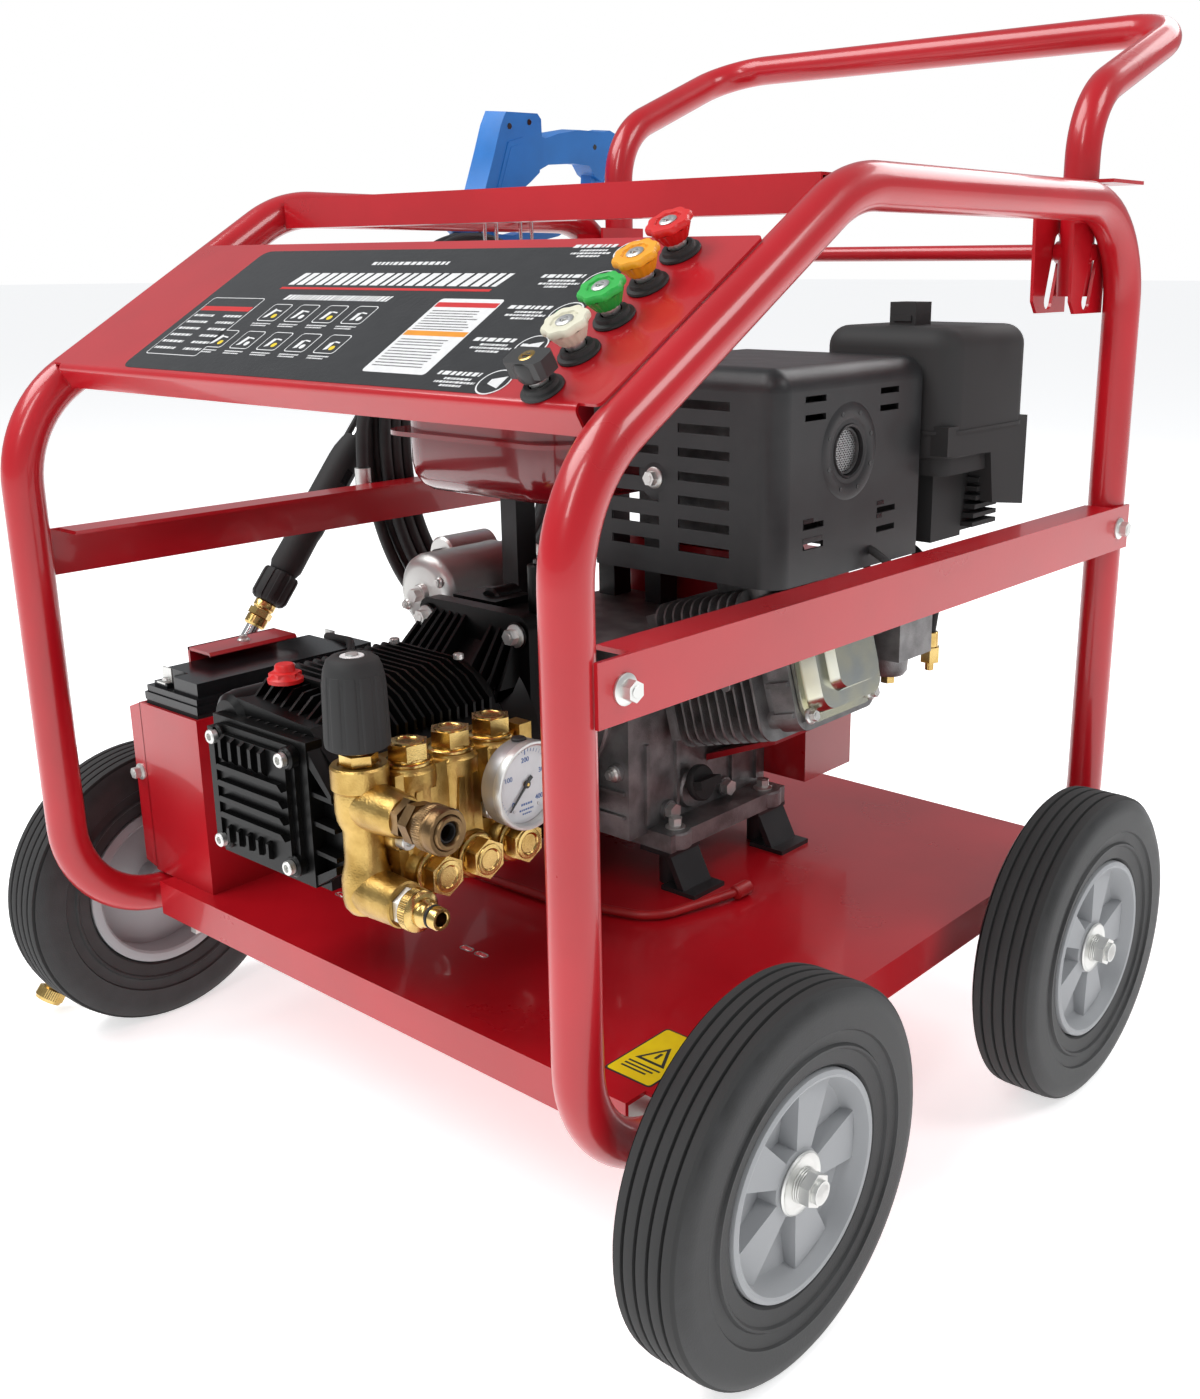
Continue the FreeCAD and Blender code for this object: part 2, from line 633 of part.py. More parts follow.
def fan_shrouds():
    """Fan housing with its round starter cover at the rear, and the sheet under the cylinder."""
    x, z = D.crank_x, D.crank_z
    low = D.block_rear + 0.3
    case = Part.makeBox(262, 84, 212, V(x - 124, low, z - 102)).fuse(
        Part.makeCylinder(132, 84, V(x, low, z + 6), V(0, 1, 0)))
    hollow = Part.makeCylinder(122, 76, V(x, low - 1, z + 6), V(0, 1, 0))
    dome = Part.makeCone(104, 84, 30, V(x, low + 84, z + 6), V(0, 1, 0))
    dome_in = Part.makeCone(100, 78, 26, V(x, low + 75, z + 6), V(0, 1, 0))
    housing = case.cut(hollow).fuse(dome).cut(dome_in)
    rope_x, rope_z = rope_place()
    housing = housing.cut(Part.makeCylinder(4, 60, V(rope_x, low + 70, rope_z), V(0, 1, 0)))
    under = plate([(x + 92, z - 66), (x + 170, z - 34), (x + 168, z - 30), (x + 92, z - 60)], "y",
                  bore_low(), D.block_rear)
    return group([made(housing), made(under)])


def bore_low():
    return D.bore_y - 3


def recoil_handle():
    """Grip of the pull starter on the first of its rope."""
    x, z = rope_place()
    y = D.block_rear + 118.6
    grip = Part.makeBox(46, 12, 14, V(x - 23, y, z - 7))
    grip = grip.makeFillet(5, grip.Edges)
    return made(grip.fuse(Part.makeCylinder(2.5, 66, V(x, y - 64, z), V(0, 1, 0))))


def fuel_tank():
    """Two pressed halves with a seam flange, hollow inside, on four separate stays."""
    def half(low_half, high_half, low_z, high_z):
        cx, cy = -101.5, 102.5
        faces = []
        for (hx, hy), z in ((low_half, low_z), (high_half, high_z)):
            corners = [V(cx + a * hx, cy + b * hy, z) for a, b in ((-1, -1), (1, -1), (1, 1), (-1, 1))]
            faces.append(Part.makePolygon(corners + corners[:1]))
        return Part.makeLoft(faces, True)
    lower = half((84, 112), (108, 138), 502, 556)
    upper = half((108, 138), (98, 128), 556, 640)
    skin = lower.fuse(upper).removeSplitter()
    space = half((80, 108), (104, 134), 506, 556).fuse(half((104, 134), (94, 124), 556, 636))
    neck = Part.makeCylinder(26, 10, V(-101.5, 150, 636)).cut(Part.makeCylinder(22, 12, V(-101.5, 150, 635)))
    flange = Part.makeBox(230, 290, 3, V(-216.5, -42.5, 554))
    tank = skin.fuse(flange).cut(space).cut(Part.makeCylinder(22, 12, V(-101.5, 150, 632))).fuse(neck)
    stays = [Part.makeBox(20, 24, 501.8 - 385.4, V(x, y, 385.4)) for x in (-120, -60) for y in (20, 150)]
    return group([made(solid) for solid in [tank] + stays])


def tank_cap():
    return made(turned([(0, 646.4), (26, 646.4), (31, 648), (31, 661), (26, 665), (0, 665)],
                       (-101.5, 150, 0), "z"))


def muffler():
    drum = Part.makeBox(134, 150, 118, V(44, 26, 482))
    drum = drum.makeFillet(24, drum.Edges)
    inside = Part.makeBox(130, 146, 114, V(46, 28, 484))
    drum = drum.cut(inside.makeFillet(22, inside.Edges))
    outlet = Part.makeCylinder(19, 26, V(176, 98, 556), V(1, 0, 0))
    outlet = outlet.cut(Part.makeCylinder(17, 10, V(194, 98, 556), V(1, 0, 0)))
    return made(drum.fuse(outlet))


def muffler_shield():
    """Pressed cover round the muffler: open below and at the back, with rows of slots."""
    x0, x1, y0, y1, z0, z1 = 18, 205, 0, 207, 457, 625
    outer = Part.makeBox(x1 - x0, y1 - y0, z1 - z0, V(x0, y0, z0))
    picked = [e for e in outer.Edges if e.CenterOfMass.z > z0 + 1 and
              not (e.CenterOfMass.y > y1 - 1) and not e.CenterOfMass.x < x0 + 1]
    outer = outer.makeFillet(18, picked)
    wall = 1.6
    inner = Part.makeBox(x1 - x0 - wall, y1 - y0, z1 - z0 - wall, V(x0 - 1, y0 + wall, z0 - 1))
    picked = [e for e in inner.Edges if e.CenterOfMass.z > z0 and
              not (e.CenterOfMass.y > y1 + 1) and not e.CenterOfMass.x < x0 + 1]
    shield = outer.cut(inner.makeFillet(16, picked))
    for k in range(7):
        for start in (36, 108):
            shield = shield.cut(Part.makeBox(52, 6, 7, V(start, y0 - 2, 478 + k * 19)))
    shield = shield.cut(Part.makeCylinder(22, 12, V(x1 - 6, 98, 556), V(1, 0, 0)))
    for y in (36, 142):
        for z in (484, 500, 584, 598):
            shield = shield.cut(Part.makeBox(8, 28, 5, V(x1 - 4, y, z)))
    return made(shield)


def air_cleaner():
    """Black cover with its base and its square-headed screw knob."""
    cover = Part.makeBox(134, 148, 126, V(94, 213, 523))
    skirt = Part.makeBox(56, 84, 44, V(172, 277, 484))
    body = cover.fuse(skirt).removeSplitter()
    body = body.makeFillet(12, [e for e in body.Edges if e.CenterOfMass.z > 560])
    hollow = Part.makeBox(122, 136, 116, V(100, 219, 527))
    base = Part.makeBox(110, 50, 60, V(100, 236, 462))
    knob = Part.makeBox(26, 26, 20, V(150, 240, 648))
    return made(body.cut(hollow).fuse([base, knob]))


def carburettor():
    throat = Part.makeCylinder(20, 66, V(176, 165, 420), V(0, 1, 0))
    bowl = Part.makeCylinder(24, 38, V(176, 205, 366))
    body = Part.makeBox(44, 44, 40, V(154, 183, 398))
    cup = Part.makeCylinder(12, 30, V(208, 222, 362))
    arm = Part.makeBox(34, 14, 10, V(176, 214, 386))
    return made(throat.fuse([bowl, body, cup, arm]))


def starter_motor():
    x, z = -180, 414
    case = Part.makeCylinder(33, 112, V(x, -25, z), V(0, 1, 0))
    case = case.fuse(Part.makeCylinder(10, 8, V(x, -33, z), V(0, 1, 0)))
    rear = Part.makeBox(62, 26, 62, V(x - 31, 87, z - 31))
    arm = Part.makeBox(42, 24, 34, V(x + 8, 60, z - 42))
    return made(case.fuse([rear, arm]))


def oil_cap():
    cap = turned([(0, 2), (10.4, 2), (10.4, 24.3), (16, 24.3), (16, 32), (13, 34), (0, 34)], (0, 0, 0), "z")
    wing = Part.makeBox(26, 5, 10, V(-13, -2.5, 33))
    whole = cap.fuse(wing)
    turn = FreeCAD.Rotation(V(0, 0, 1), V(1, 0, 0.25))
    whole.Placement = FreeCAD.Placement(V(D.crank_x + 80, 72, D.deck_top + 76.7), turn)
    return made(whole)


def crankshaft():
    """Crankshaft with its weights, the coupling and the pump's own shaft, on one line."""
    x, z = D.crank_x, D.crank_z
    front, rear = D.block_front, D.block_rear

    def disc(r, y0, y1):
        return Part.makeCylinder(r, y1 - y0, V(x, y0, z), V(0, 1, 0))
    crank = disc(17.5, front - 4.8, rear + 48).fuse([disc(46, 58, 76), disc(46, 112, 130), disc(12, -60, 0)])
    hub = disc(30, -72, -30).cut(disc(12, -60, -30))
    pump = disc(12, -296, -72.2).fuse([disc(21, D.plunger_y + D.plunger_step * k - 7,
                                            D.plunger_y + D.plunger_step * k + 7) for k in (-1, 0, 1)])
    return group([made(s) for s in (crank, hub, pump)])


def flywheel():
    x, z, low = D.crank_x, D.crank_z, D.block_rear + 8
    wheel_disc = Part.makeCylinder(100, 22, V(x, low, z), V(0, 1, 0))
    for k in range(12):
        blade = Part.makeBox(30, 16, 3, V(66, 0, -1.5))
        blade.rotate(V(), V(0, 1, 0), 30 * k)
        blade.translate(V(x, low + 21.9, z))
        wheel_disc = wheel_disc.fuse(blade)
    return made(wheel_disc.cut(Part.makeCylinder(17.5, 60, V(x, low - 1, z), V(0, 1, 0))))


def piston():
    crown = Part.makeCylinder(43.9, 50, V(134, 0, 0), V(1, 0, 0))
    crown = crown.cut(Part.makeCylinder(38, 38, V(133, 0, 0), V(1, 0, 0)))
    return made(tilted(crown))


# ---------------------------------------------------------------- pump

def bell_housing():
    """Ribbed black adaptor between engine and pump, hollow round the coupling."""
    x, z = D.crank_x, D.crank_z
    front, rear = D.pump_rear + 0.2, D.block_front - 4.5
    plate_box = Part.makeBox(132, 14, 194, V(x - 66, -100, z - 94))
    body = Part.makeBox(112, rear + 86, 176, V(x - 56, -86, z - 90))
    nose = Part.makeCylinder(60, -100 - front, V(x, front, z), V(0, 1, 0))
    solid = plate_box.fuse([body, nose])
    for k in range(5):
        rib = plate([(x - 58 + k * 29, front + 8), (x - 58 + k * 29 + 4, front + 8),
                     (x - 60 + k * 29 + 4, -99), (x - 60 + k * 29, -99)], "z", z - 80, z + 80)
        solid = solid.fuse(rib.common(Part.makeCone(60, 90, -99 - front, V(x, front, z), V(0, 1, 0))))
    hollow = Part.makeCylinder(40, rear - front + 2, V(x, front - 1, z), V(0, 1, 0))
    return made(solid.cut(hollow))


def pump_crankcase():
    """Finned black case, its front cover with four screws, and the red vent cap on top."""
    x, z = D.crank_x, D.crank_z
    front, rear = D.pump_front, D.pump_rear
    case = Part.makeBox(112, rear - front, 108, V(x - 52, front, z - 62))
    case = case.makeFillet(10, [e for e in case.Edges if abs(e.tangentAt(0).y) > 0.9])
    boss = Part.makeCylinder(17, 30, V(x - 52, front + 2, z + 42), V(0, 1, 0))
    neck = Part.makeBox(D.head_x - x - 58, rear - front - 26, 84, V(x + 58, front + 13, z - 54))
    solid = case.fuse([boss, neck])
    for k in range(14):
        y = front + 20 + k * 10.5
        solid = solid.fuse(Part.makeBox(96, 3, 26, V(x - 50, y, z + 46)))
    gap = Part.makeCylinder(26, rear - front - 12, V(x, front + 6, z), V(0, 1, 0))
    mouth = Part.makeCylinder(12.05, 40, V(x, rear - 20, z), V(0, 1, 0))
    pipes = [Part.makeCylinder(9, D.head_x - x, V(x, D.plunger_y + D.plunger_step * k, z), V(1, 0, 0))
             for k in (-1, 0, 1)]
    solid = solid.cut(gap.fuse([mouth] + pipes))
    cover = Part.makeBox(88, 12, 84, V(x - 45, front - 12.1, z - 53))
    cover = cover.makeFillet(6, [e for e in cover.Edges if abs(e.tangentAt(0).y) > 0.9])
    for k in range(5):
        cover = cover.cut(Part.makeBox(70, 5, 6, V(x - 36, front - 12.5, z - 40 + k * 13)))
    vent = turned([(0, 0), (9, 0), (12.5, 2), (12.5, 8), (8, 9), (8, 14), (0, 14)],
                  (-42, -276, z + 72.2), "z")
    return group([made(s) for s in (solid, cover, vent)])


def plunger_places():
    return [D.plunger_y + D.plunger_step * k for k in (-1, 0, 1)]


def pump_head():
    """Brass head: valve towers, the unloader column, and its outlet and inlet branches."""
    x0 = D.head_x + 0.1
    solid = Part.makeBox(56, 124, 96, V(x0, D.plunger_y - 61, 266))
    solid = solid.makeFillet(6, solid.Edges)
    for y in plunger_places():
        solid = solid.fuse(Part.makeCylinder(17.5, 20, V(88, y, 352)))
        solid = solid.fuse(Part.makeCylinder(17.5, 20, V(92, y, 290), V(1, 0, 0)))
    ux, uy = D.unloader_x, D.unloader_y
    solid = solid.fuse([Part.makeCylinder(19, 112, V(ux, uy, 264)),
                        Part.makeCylinder(14, 45, V(ux, uy, D.outlet_z), V(1, 0, 0)),
                        Part.makeCylinder(15, 42, V(ux, uy, D.inlet_z), V(1, 0, 0)),
                        Part.makeCylinder(13, 9, V(ux, uy, 376)),
                        Part.makeBox(34, 26, 30, V(66, uy + 4, 282)),
                        Part.makeBox(34, 26, 30, V(66, uy + 4, 328)),
                        Part.makeCylinder(7, 22, V(96, D.gauge_y, D.gauge_z), V(1, 0, 0))])
    for y in plunger_places():
        solid = solid.cut(Part.makeCylinder(9, 40, V(x0 - 1, y, D.crank_z), V(1, 0, 0)))
    return made(solid.removeSplitter())


def valve_caps():
    """Hexagon caps over the six valves and the socket screws between them."""
    parts = []
    for y in plunger_places():
        parts.append(fuse(cyl(15.5, 3, (88, y, 372.1)), hexagon(26, 12, (88, y, 375.1))))
        parts.append(fuse(cyl(15.5, 3, (112.1, y, 290), "x"), hexagon(26, 11, (115.1, y, 290), "x")))
    for k in range(4):
        parts.append(cyl(6, 9, ("head_x + 56.2", "plunger_y + plunger_step * (%g)" % (k - 1.5), 316), "x"))
    return group(parts)


def unloader_knob():
    fluted = turned([(0, 385.6), (21, 385.6), (22.5, 390), (20.5, 440), (17, 450), (0, 450)],
                    (D.unloader_x, D.unloader_y, 0), "z")
    for k in range(12):
        groove = Part.makeCylinder(2.2, 44, V(22.6, 0, 389))
        groove.rotate(V(), V(0, 0, 1), 30 * k)
        groove.translate(V(D.unloader_x, D.unloader_y, 0))
        fluted = fluted.cut(groove)
    return made(fluted)


def pressure_gauge():
    """Steel case as a cup, with the dial as a separate disc in it."""
    case = turned([(0, 0), (30, 0), (33, 3), (33, 22), (29.5, 22), (29.5, 12), (0, 12)],
                  (118.2, D.gauge_y, D.gauge_z), "x")
    return made(case.cut(Part.makeCylinder(1.25, 8, V(124, D.gauge_y, D.gauge_z), V(1, 0, 0))))


def gauge_needle():
    """Pointer and its spindle; it points down and forward at zero."""
    x = 118.2 + 13
    pin = Part.makeCylinder(1.2, 5, V(x - 4, D.gauge_y, D.gauge_z), V(1, 0, 0))
    boss = Part.makeCylinder(3, 2, V(x, D.gauge_y, D.gauge_z), V(1, 0, 0))
    blade = Part.makeBox(0.8, 1.6, 30, V(x + 0.5, -0.8, -6))
    blade.rotate(V(), V(1, 0, 0), 135)
    blade.translate(V(0, D.gauge_y, D.gauge_z))
    return made(pin.fuse([boss, blade]))


def outlet_coupler():
    """Quick-connect socket for the high-pressure hose."""
    x, y, z = D.unloader_x + 45.1, D.unloader_y, D.outlet_z
    nut = Part.makeCylinder(12, 18, V(x, y, z), V(1, 0, 0))
    barrel = Part.makeCylinder(12, 30, V(x + 16, y, z), V(1, 0, 0))
    body = nut.fuse(barrel)
    hexed = Part.Face(Part.makePolygon([V(x, y + 14 * math.cos(math.radians(a)),
                                          z + 14 * math.sin(math.radians(a)))
                                        for a in range(0, 361, 60)])).extrude(V(14, 0, 0))
    hole = Part.makeCylinder(D.socket_r, 22, V(x + 46 - 22, y, z), V(1, 0, 0))
    return made(body.fuse(hexed).cut(hole))


def coupler_sleeve():
    """Knurled ring that is pulled back to free the plug."""
    return ring(16.5, "12 + 0.05", 20, ("unloader_x + 45.1 + 24", "unloader_y", "outlet_z"), "x")


def inlet_spigot():
    x = D.unloader_x + 42.1
    profile = [(0, 0), (13, 0), (13, 7), (15, 9), (15, 15), (10.5, 17), (10.5, 22), (D.spigot_r, 24),
               (D.spigot_r, 36), (5, 36), (5, 6), (0, 6)]
    return made(turned(profile, (x, D.unloader_y, D.inlet_z), "x"))


# ---------------------------------------------------------------- gun, lance and hose

GUN_TOP = V(-375, 264, 778)
LANCE_END = V(-440, -305, 13)
GUN_LENGTH = (LANCE_END - GUN_TOP).Length


def gun_place():
    """The gun's own frame: x down the lance, y across it towards the handle, z outward."""
    along = (LANCE_END - GUN_TOP).normalize()
    side = along.cross(V(0, 1, 0)).normalize()
    across = side.cross(along).normalize()
    turn = FreeCAD.Rotation(along, across, side, "XYZ")
    return FreeCAD.Placement(GUN_TOP, turn)


def laid(shape):
    shape.Placement = gun_place().multiply(shape.Placement)
    return made(shape)


def gun_body():
    """Closed moulding: valve body, grip and trigger guard, with the finger gap open."""
    half = 15.0
    nose = plate([(-94, -9), (-65, -47), (-22, -34), (16, -21.5), (64, -20), (64, 20), (-20, 21),
                  (-34, 26), (-50, 30), (-78, 12)], "z", -half, half)
    grip = plate([(-78, 0), (-82, 15), (-123, 52), (-150, 86), (-160, 97), (-150, 110), (-112, 124),
                  (-105, 104), (-107, 90), (-65, 37), (-50, 28)], "z", -14, 14)
    guard = plate([(-118, 122), (-70, 130), (-19, 103), (33, 55), (52, 18), (40, 16), (24, 46),
                   (-24, 90), (-67, 115), (-104, 104)], "z", -9, 9)
    return laid(nose.fuse([grip, guard]).removeSplitter())


def gun_trigger():
    lever = plate([(-20, 31), (-8, 29), (-22, 59), (-47, 87), (-54, 83), (-34, 54)], "z", -7, 7)
    eye = Part.makeCylinder(5, 14, V(-12, 28, -7))
    return laid(lever.fuse(eye))


def lance():
    """Vented grip sleeve, lock knob, steel pipe and end socket as separate solids."""
    sleeve = turned([(8.2, 66), (17, 66), (19, 74), (19, 180), (17, 470), (15, 476), (8.2, 476)],
                    (0, 0, 0), "x")
    knob = turned([(8.2, 477), (17, 477), (19, 481), (19, 506), (15, 512), (8.2, 512)], (0, 0, 0), "x")
    pipe = turned([(0, 65), (8, 65), (8, GUN_LENGTH - 34), (0, GUN_LENGTH - 34)], (0, 0, 0), "x")
    end = GUN_LENGTH - 33.8
    socket = turned([(0, end), (12, end), (12, end + 8), (10, end + 10), (10, end + 26), (12.5, end + 28),
                     (12.5, end + 33.8), (6, end + 33.8), (6, end + 18), (0, end + 18)], (0, 0, 0), "x")
    return group([laid(s) for s in (sleeve, knob, pipe, socket)])


def hose_coil():
    """Outer shape of the hung coil: an upright oval band."""
    def oval(half_y, half_z):
        curve = Part.Ellipse(V(0, 0, 0), half_z, half_y)
        face = Part.Face(Part.Wire([curve.toShape()]))
        solid = face.extrude(V(0, 0, D.coil_in - D.coil_out))
        solid.Placement = FreeCAD.Placement(V(D.coil_in, D.coil_y, D.coil_z),
                                            FreeCAD.Rotation(V(0, 0, 1), V(0, 1, 0), V(1, 0, 0), "XYZ"))
        return solid
    band = D.coil_band
    return made(oval(D.coil_half_y, D.coil_half_z).cut(oval(D.coil_half_y - band, D.coil_half_z - band)))


def hose_ends():
    """Crimped fittings of the hose, hanging off the two sides of the coil."""
    ends = []
    for x, side, z in ((-350, 1, 470), (-336, -1, 452)):
        y = D.coil_y + side * (D.coil_half_y + 10.4)
        ends.append(made(turned([(0, 0), (7, 0), (7, 14), (10, 16), (10, 26), (8, 28), (8, 52), (0, 52)],
                                (x, y, z), "z")))
    return group(ends)


# ---------------------------------------------------------------- assembly

for side, word in ((-1, "left"), (1, "right")):
    node(word + "_hoop", hoop(side))
    for end, place_word in ((-1, "front"), (1, "rear")):
        tyre, hub = wheel(side, end)
        node("tyre_%s_%s" % (place_word, word), tyre)
        node("hub_%s_%s" % (place_word, word), hub)
for word, facets, along in zip(("black", "white", "green", "yellow", "red"), (8, 8, 8, 8, 8),
                               nozzle_places()):
    node("nozzle_" + word, nozzle(along, facets))
for build in (deck, frame_bars, control_panel, panel_grommets, handle_brackets, push_handle, handle_rod,
              hanger_hooks, axles, fasteners, battery_box, battery, battery_cables, engine_mounts,
              crankcase, cylinder, valve_cover, fan_shrouds, recoil_handle, fuel_tank, tank_cap, muffler,
              muffler_shield, air_cleaner, carburettor, starter_motor, oil_cap, crankshaft, flywheel,
              piston, bell_housing, pump_crankcase, pump_head, valve_caps, unloader_knob,
              pressure_gauge, gauge_needle, outlet_coupler, coupler_sleeve, inlet_spigot, gun_body,
              gun_trigger, lance, hose_coil, hose_ends):
    node(build.__name__, build())

doc.recompute()
for thing in doc.Objects:
    if "Invalid" in thing.State or "Error" in thing.State:
        raise RuntimeError("%s (%s) failed" % (thing.Name, thing.Label))
os.makedirs("parts", exist_ok=True)
for name, thing in NODES.items():
    shape = thing.Shape
    if shape.isNull() or not shape.isValid() or not shape.Solids:
        raise RuntimeError("%s is not a valid solid" % name)
    shape.exportStep("parts/%s.step" % name)
whole = Part.makeCompound([t.Shape for n, t in NODES.items() if n not in ("hose_coil", "hose_ends")])
print("nodes", len(NODES), "box", whole.BoundBox)
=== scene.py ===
"""Looks of the petrol pressure washer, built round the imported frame.

Pieces are drawn in millimetres from the frame's middle on the floor (+X to the pump's
fittings, -Y to the sloping panel) and put in the row frame in metres as they are finished.
"""

import bpy
import bmesh
import math
import random
from mathutils import Matrix, Vector


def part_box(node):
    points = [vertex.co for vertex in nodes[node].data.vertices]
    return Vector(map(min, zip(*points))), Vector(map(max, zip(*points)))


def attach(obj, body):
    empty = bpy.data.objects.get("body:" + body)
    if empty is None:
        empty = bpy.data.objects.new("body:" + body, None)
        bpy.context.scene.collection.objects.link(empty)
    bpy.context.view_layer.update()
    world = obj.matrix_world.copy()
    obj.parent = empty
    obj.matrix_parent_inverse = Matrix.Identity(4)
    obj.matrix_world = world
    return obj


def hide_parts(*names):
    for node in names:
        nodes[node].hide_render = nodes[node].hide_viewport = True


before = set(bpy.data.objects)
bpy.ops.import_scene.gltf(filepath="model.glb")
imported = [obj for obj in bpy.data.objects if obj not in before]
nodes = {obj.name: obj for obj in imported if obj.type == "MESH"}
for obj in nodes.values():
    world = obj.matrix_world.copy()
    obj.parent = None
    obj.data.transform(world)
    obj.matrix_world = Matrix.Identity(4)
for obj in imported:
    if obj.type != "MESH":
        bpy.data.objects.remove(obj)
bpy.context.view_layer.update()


def middle(a, b, axis):
    return (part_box(a)[0][axis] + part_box(b)[1][axis]) / 2


ROW = Matrix.Translation((middle("left_hoop", "right_hoop", 0),
                          middle("tyre_front_right", "tyre_rear_right", 1), 0)) @ Matrix.Scale(0.001, 4)


# ---------------------------------------------------------------- camera, light, floor

def look():
    camera = bpy.data.objects.new("camera", bpy.data.cameras.new("camera"))
    bpy.context.collection.objects.link(camera)
    camera.location = ROW @ Vector((849.1, -882.5, 699.7))
    turn = Matrix.Rotation(math.radians(40), 3, "Z") @ Matrix.Rotation(math.radians(74), 3, "X")
    camera.rotation_euler = (turn @ Matrix.Rotation(math.radians(-0.2), 3, "Z")).to_euler()
    camera.data.lens = 37.3
    camera.data.shift_x = -0.0565
    camera.data.shift_y = -0.0136
    camera.data.clip_start = 0.01
    bpy.context.scene.camera = camera


def light(name, at, aim, size, power, tint=(1, 1, 1)):
    lamp = bpy.data.lights.new(name, "AREA")
    lamp.shape, lamp.size, lamp.size_y = "RECTANGLE", size[0], size[1]
    lamp.energy, lamp.color = power, tint
    thing = bpy.data.objects.new(name, lamp)
    bpy.context.collection.objects.link(thing)
    thing.location = at
    thing.rotation_euler = (Vector(aim) - Vector(at)).to_track_quat("-Z", "Y").to_euler()


def studio():
    light("key", (-1.4, -1.6, 3.4), (0, 0, 0.4), (2.6, 2.0), 96)
    light("side", (2.6, 0.6, 2.9), (0, 0, 0.4), (1.2, 1.2), 30)
    light("strip", (0.9, -2.6, 2.6), (0, -0.1, 0.4), (0.5, 1.6), 22)
    light("back", (0.4, 3.0, 2.6), (0, 0, 0.5), (2.6, 1.4), 46)
    world = bpy.data.worlds.new("studio")
    bpy.context.scene.world = world
    world.use_nodes = True
    tree, link = world.node_tree, world.node_tree.links.new
    seen, lit = tree.nodes["Background"], tree.nodes.new("ShaderNodeBackground")
    seen.inputs[0].default_value, seen.inputs[1].default_value = (1, 1, 1, 1), 1.0
    lit.inputs[0].default_value, lit.inputs[1].default_value = (0.90, 0.93, 0.97, 1), 0.36
    path, mix = tree.nodes.new("ShaderNodeLightPath"), tree.nodes.new("ShaderNodeMixShader")
    link(path.outputs["Is Camera Ray"], mix.inputs[0])
    link(lit.outputs[0], mix.inputs[1])
    link(seen.outputs[0], mix.inputs[2])
    link(mix.outputs[0], tree.nodes["World Output"].inputs[0])
    bpy.context.scene.view_settings.view_transform = "Standard"
    bpy.context.scene.view_settings.exposure = 0.0
    bm = bmesh.new()
    bmesh.ops.create_grid(bm, x_segments=1, y_segments=1, size=60)
    floor = bpy.data.objects.new("floor", bpy.data.meshes.new("floor"))
    bm.to_mesh(floor.data)
    bpy.context.collection.objects.link(floor)
    floor.data.materials.append(surface("floor", (0.90, 0.90, 0.90), (0.87, 0.87, 0.87), rough=(0.7, 0.85)))
    glow = floor.data.materials[0].node_tree.nodes["Principled BSDF"].inputs
    glow["Emission Color"].default_value, glow["Emission Strength"].default_value = (1, 1, 1, 1), 0.62


# ---------------------------------------------------------------- materials

def surface(name, color, other=None, patch=30.0, rough=(0.4, 0.5), metal=0.0, coat=0.0, grain=0.0,
            grain_scale=900.0, stretch=(1, 1, 1), contrast=(0.35, 0.65), sheen=0.0):
    """A procedural surface: two colours in soft patches, uneven gloss and a fine relief."""
    made = bpy.data.materials.get(name)
    if made:
        return made
    made = bpy.data.materials.new(name)
    made.use_nodes = True
    made.diffuse_color = (*color, 1)
    tree, link = made.node_tree, made.node_tree.links.new
    shader = tree.nodes["Principled BSDF"]
    place = tree.nodes.new("ShaderNodeTexCoord")
    spread = tree.nodes.new("ShaderNodeMapping")
    spread.inputs["Scale"].default_value = stretch
    link(place.outputs["Object"], spread.inputs["Vector"])
    noise = tree.nodes.new("ShaderNodeTexNoise")
    noise.inputs["Scale"].default_value = patch
    noise.inputs["Detail"].default_value = 6
    link(spread.outputs[0], noise.inputs["Vector"])
    ramp = tree.nodes.new("ShaderNodeValToRGB")
    ramp.color_ramp.elements[0].position, ramp.color_ramp.elements[1].position = contrast
    ramp.color_ramp.elements[0].color = (*(other or [c * 0.8 for c in color]), 1)
    ramp.color_ramp.elements[1].color = (*color, 1)
    link(noise.outputs["Fac"], ramp.inputs["Fac"])
    link(ramp.outputs["Color"], shader.inputs["Base Color"])
    gloss = tree.nodes.new("ShaderNodeMapRange")
    gloss.inputs["To Min"].default_value, gloss.inputs["To Max"].default_value = rough
    link(noise.outputs["Fac"], gloss.inputs["Value"])
    link(gloss.outputs[0], shader.inputs["Roughness"])
    shader.inputs["Metallic"].default_value = metal
    shader.inputs["Coat Weight"].default_value = coat
    shader.inputs["Coat Roughness"].default_value = 0.06
    shader.inputs["Sheen Weight"].default_value = sheen
    if grain:
        fine = tree.nodes.new("ShaderNodeTexNoise")
        fine.inputs["Scale"].default_value = grain_scale
        fine.inputs["Detail"].default_value = 3
        link(spread.outputs[0], fine.inputs["Vector"])
        bump = tree.nodes.new("ShaderNodeBump")
        bump.inputs["Strength"].default_value = grain
        bump.inputs["Distance"].default_value = 0.0006
        link(fine.outputs["Fac"], bump.inputs["Height"])
        link(bump.outputs[0], shader.inputs["Normal"])
    return made


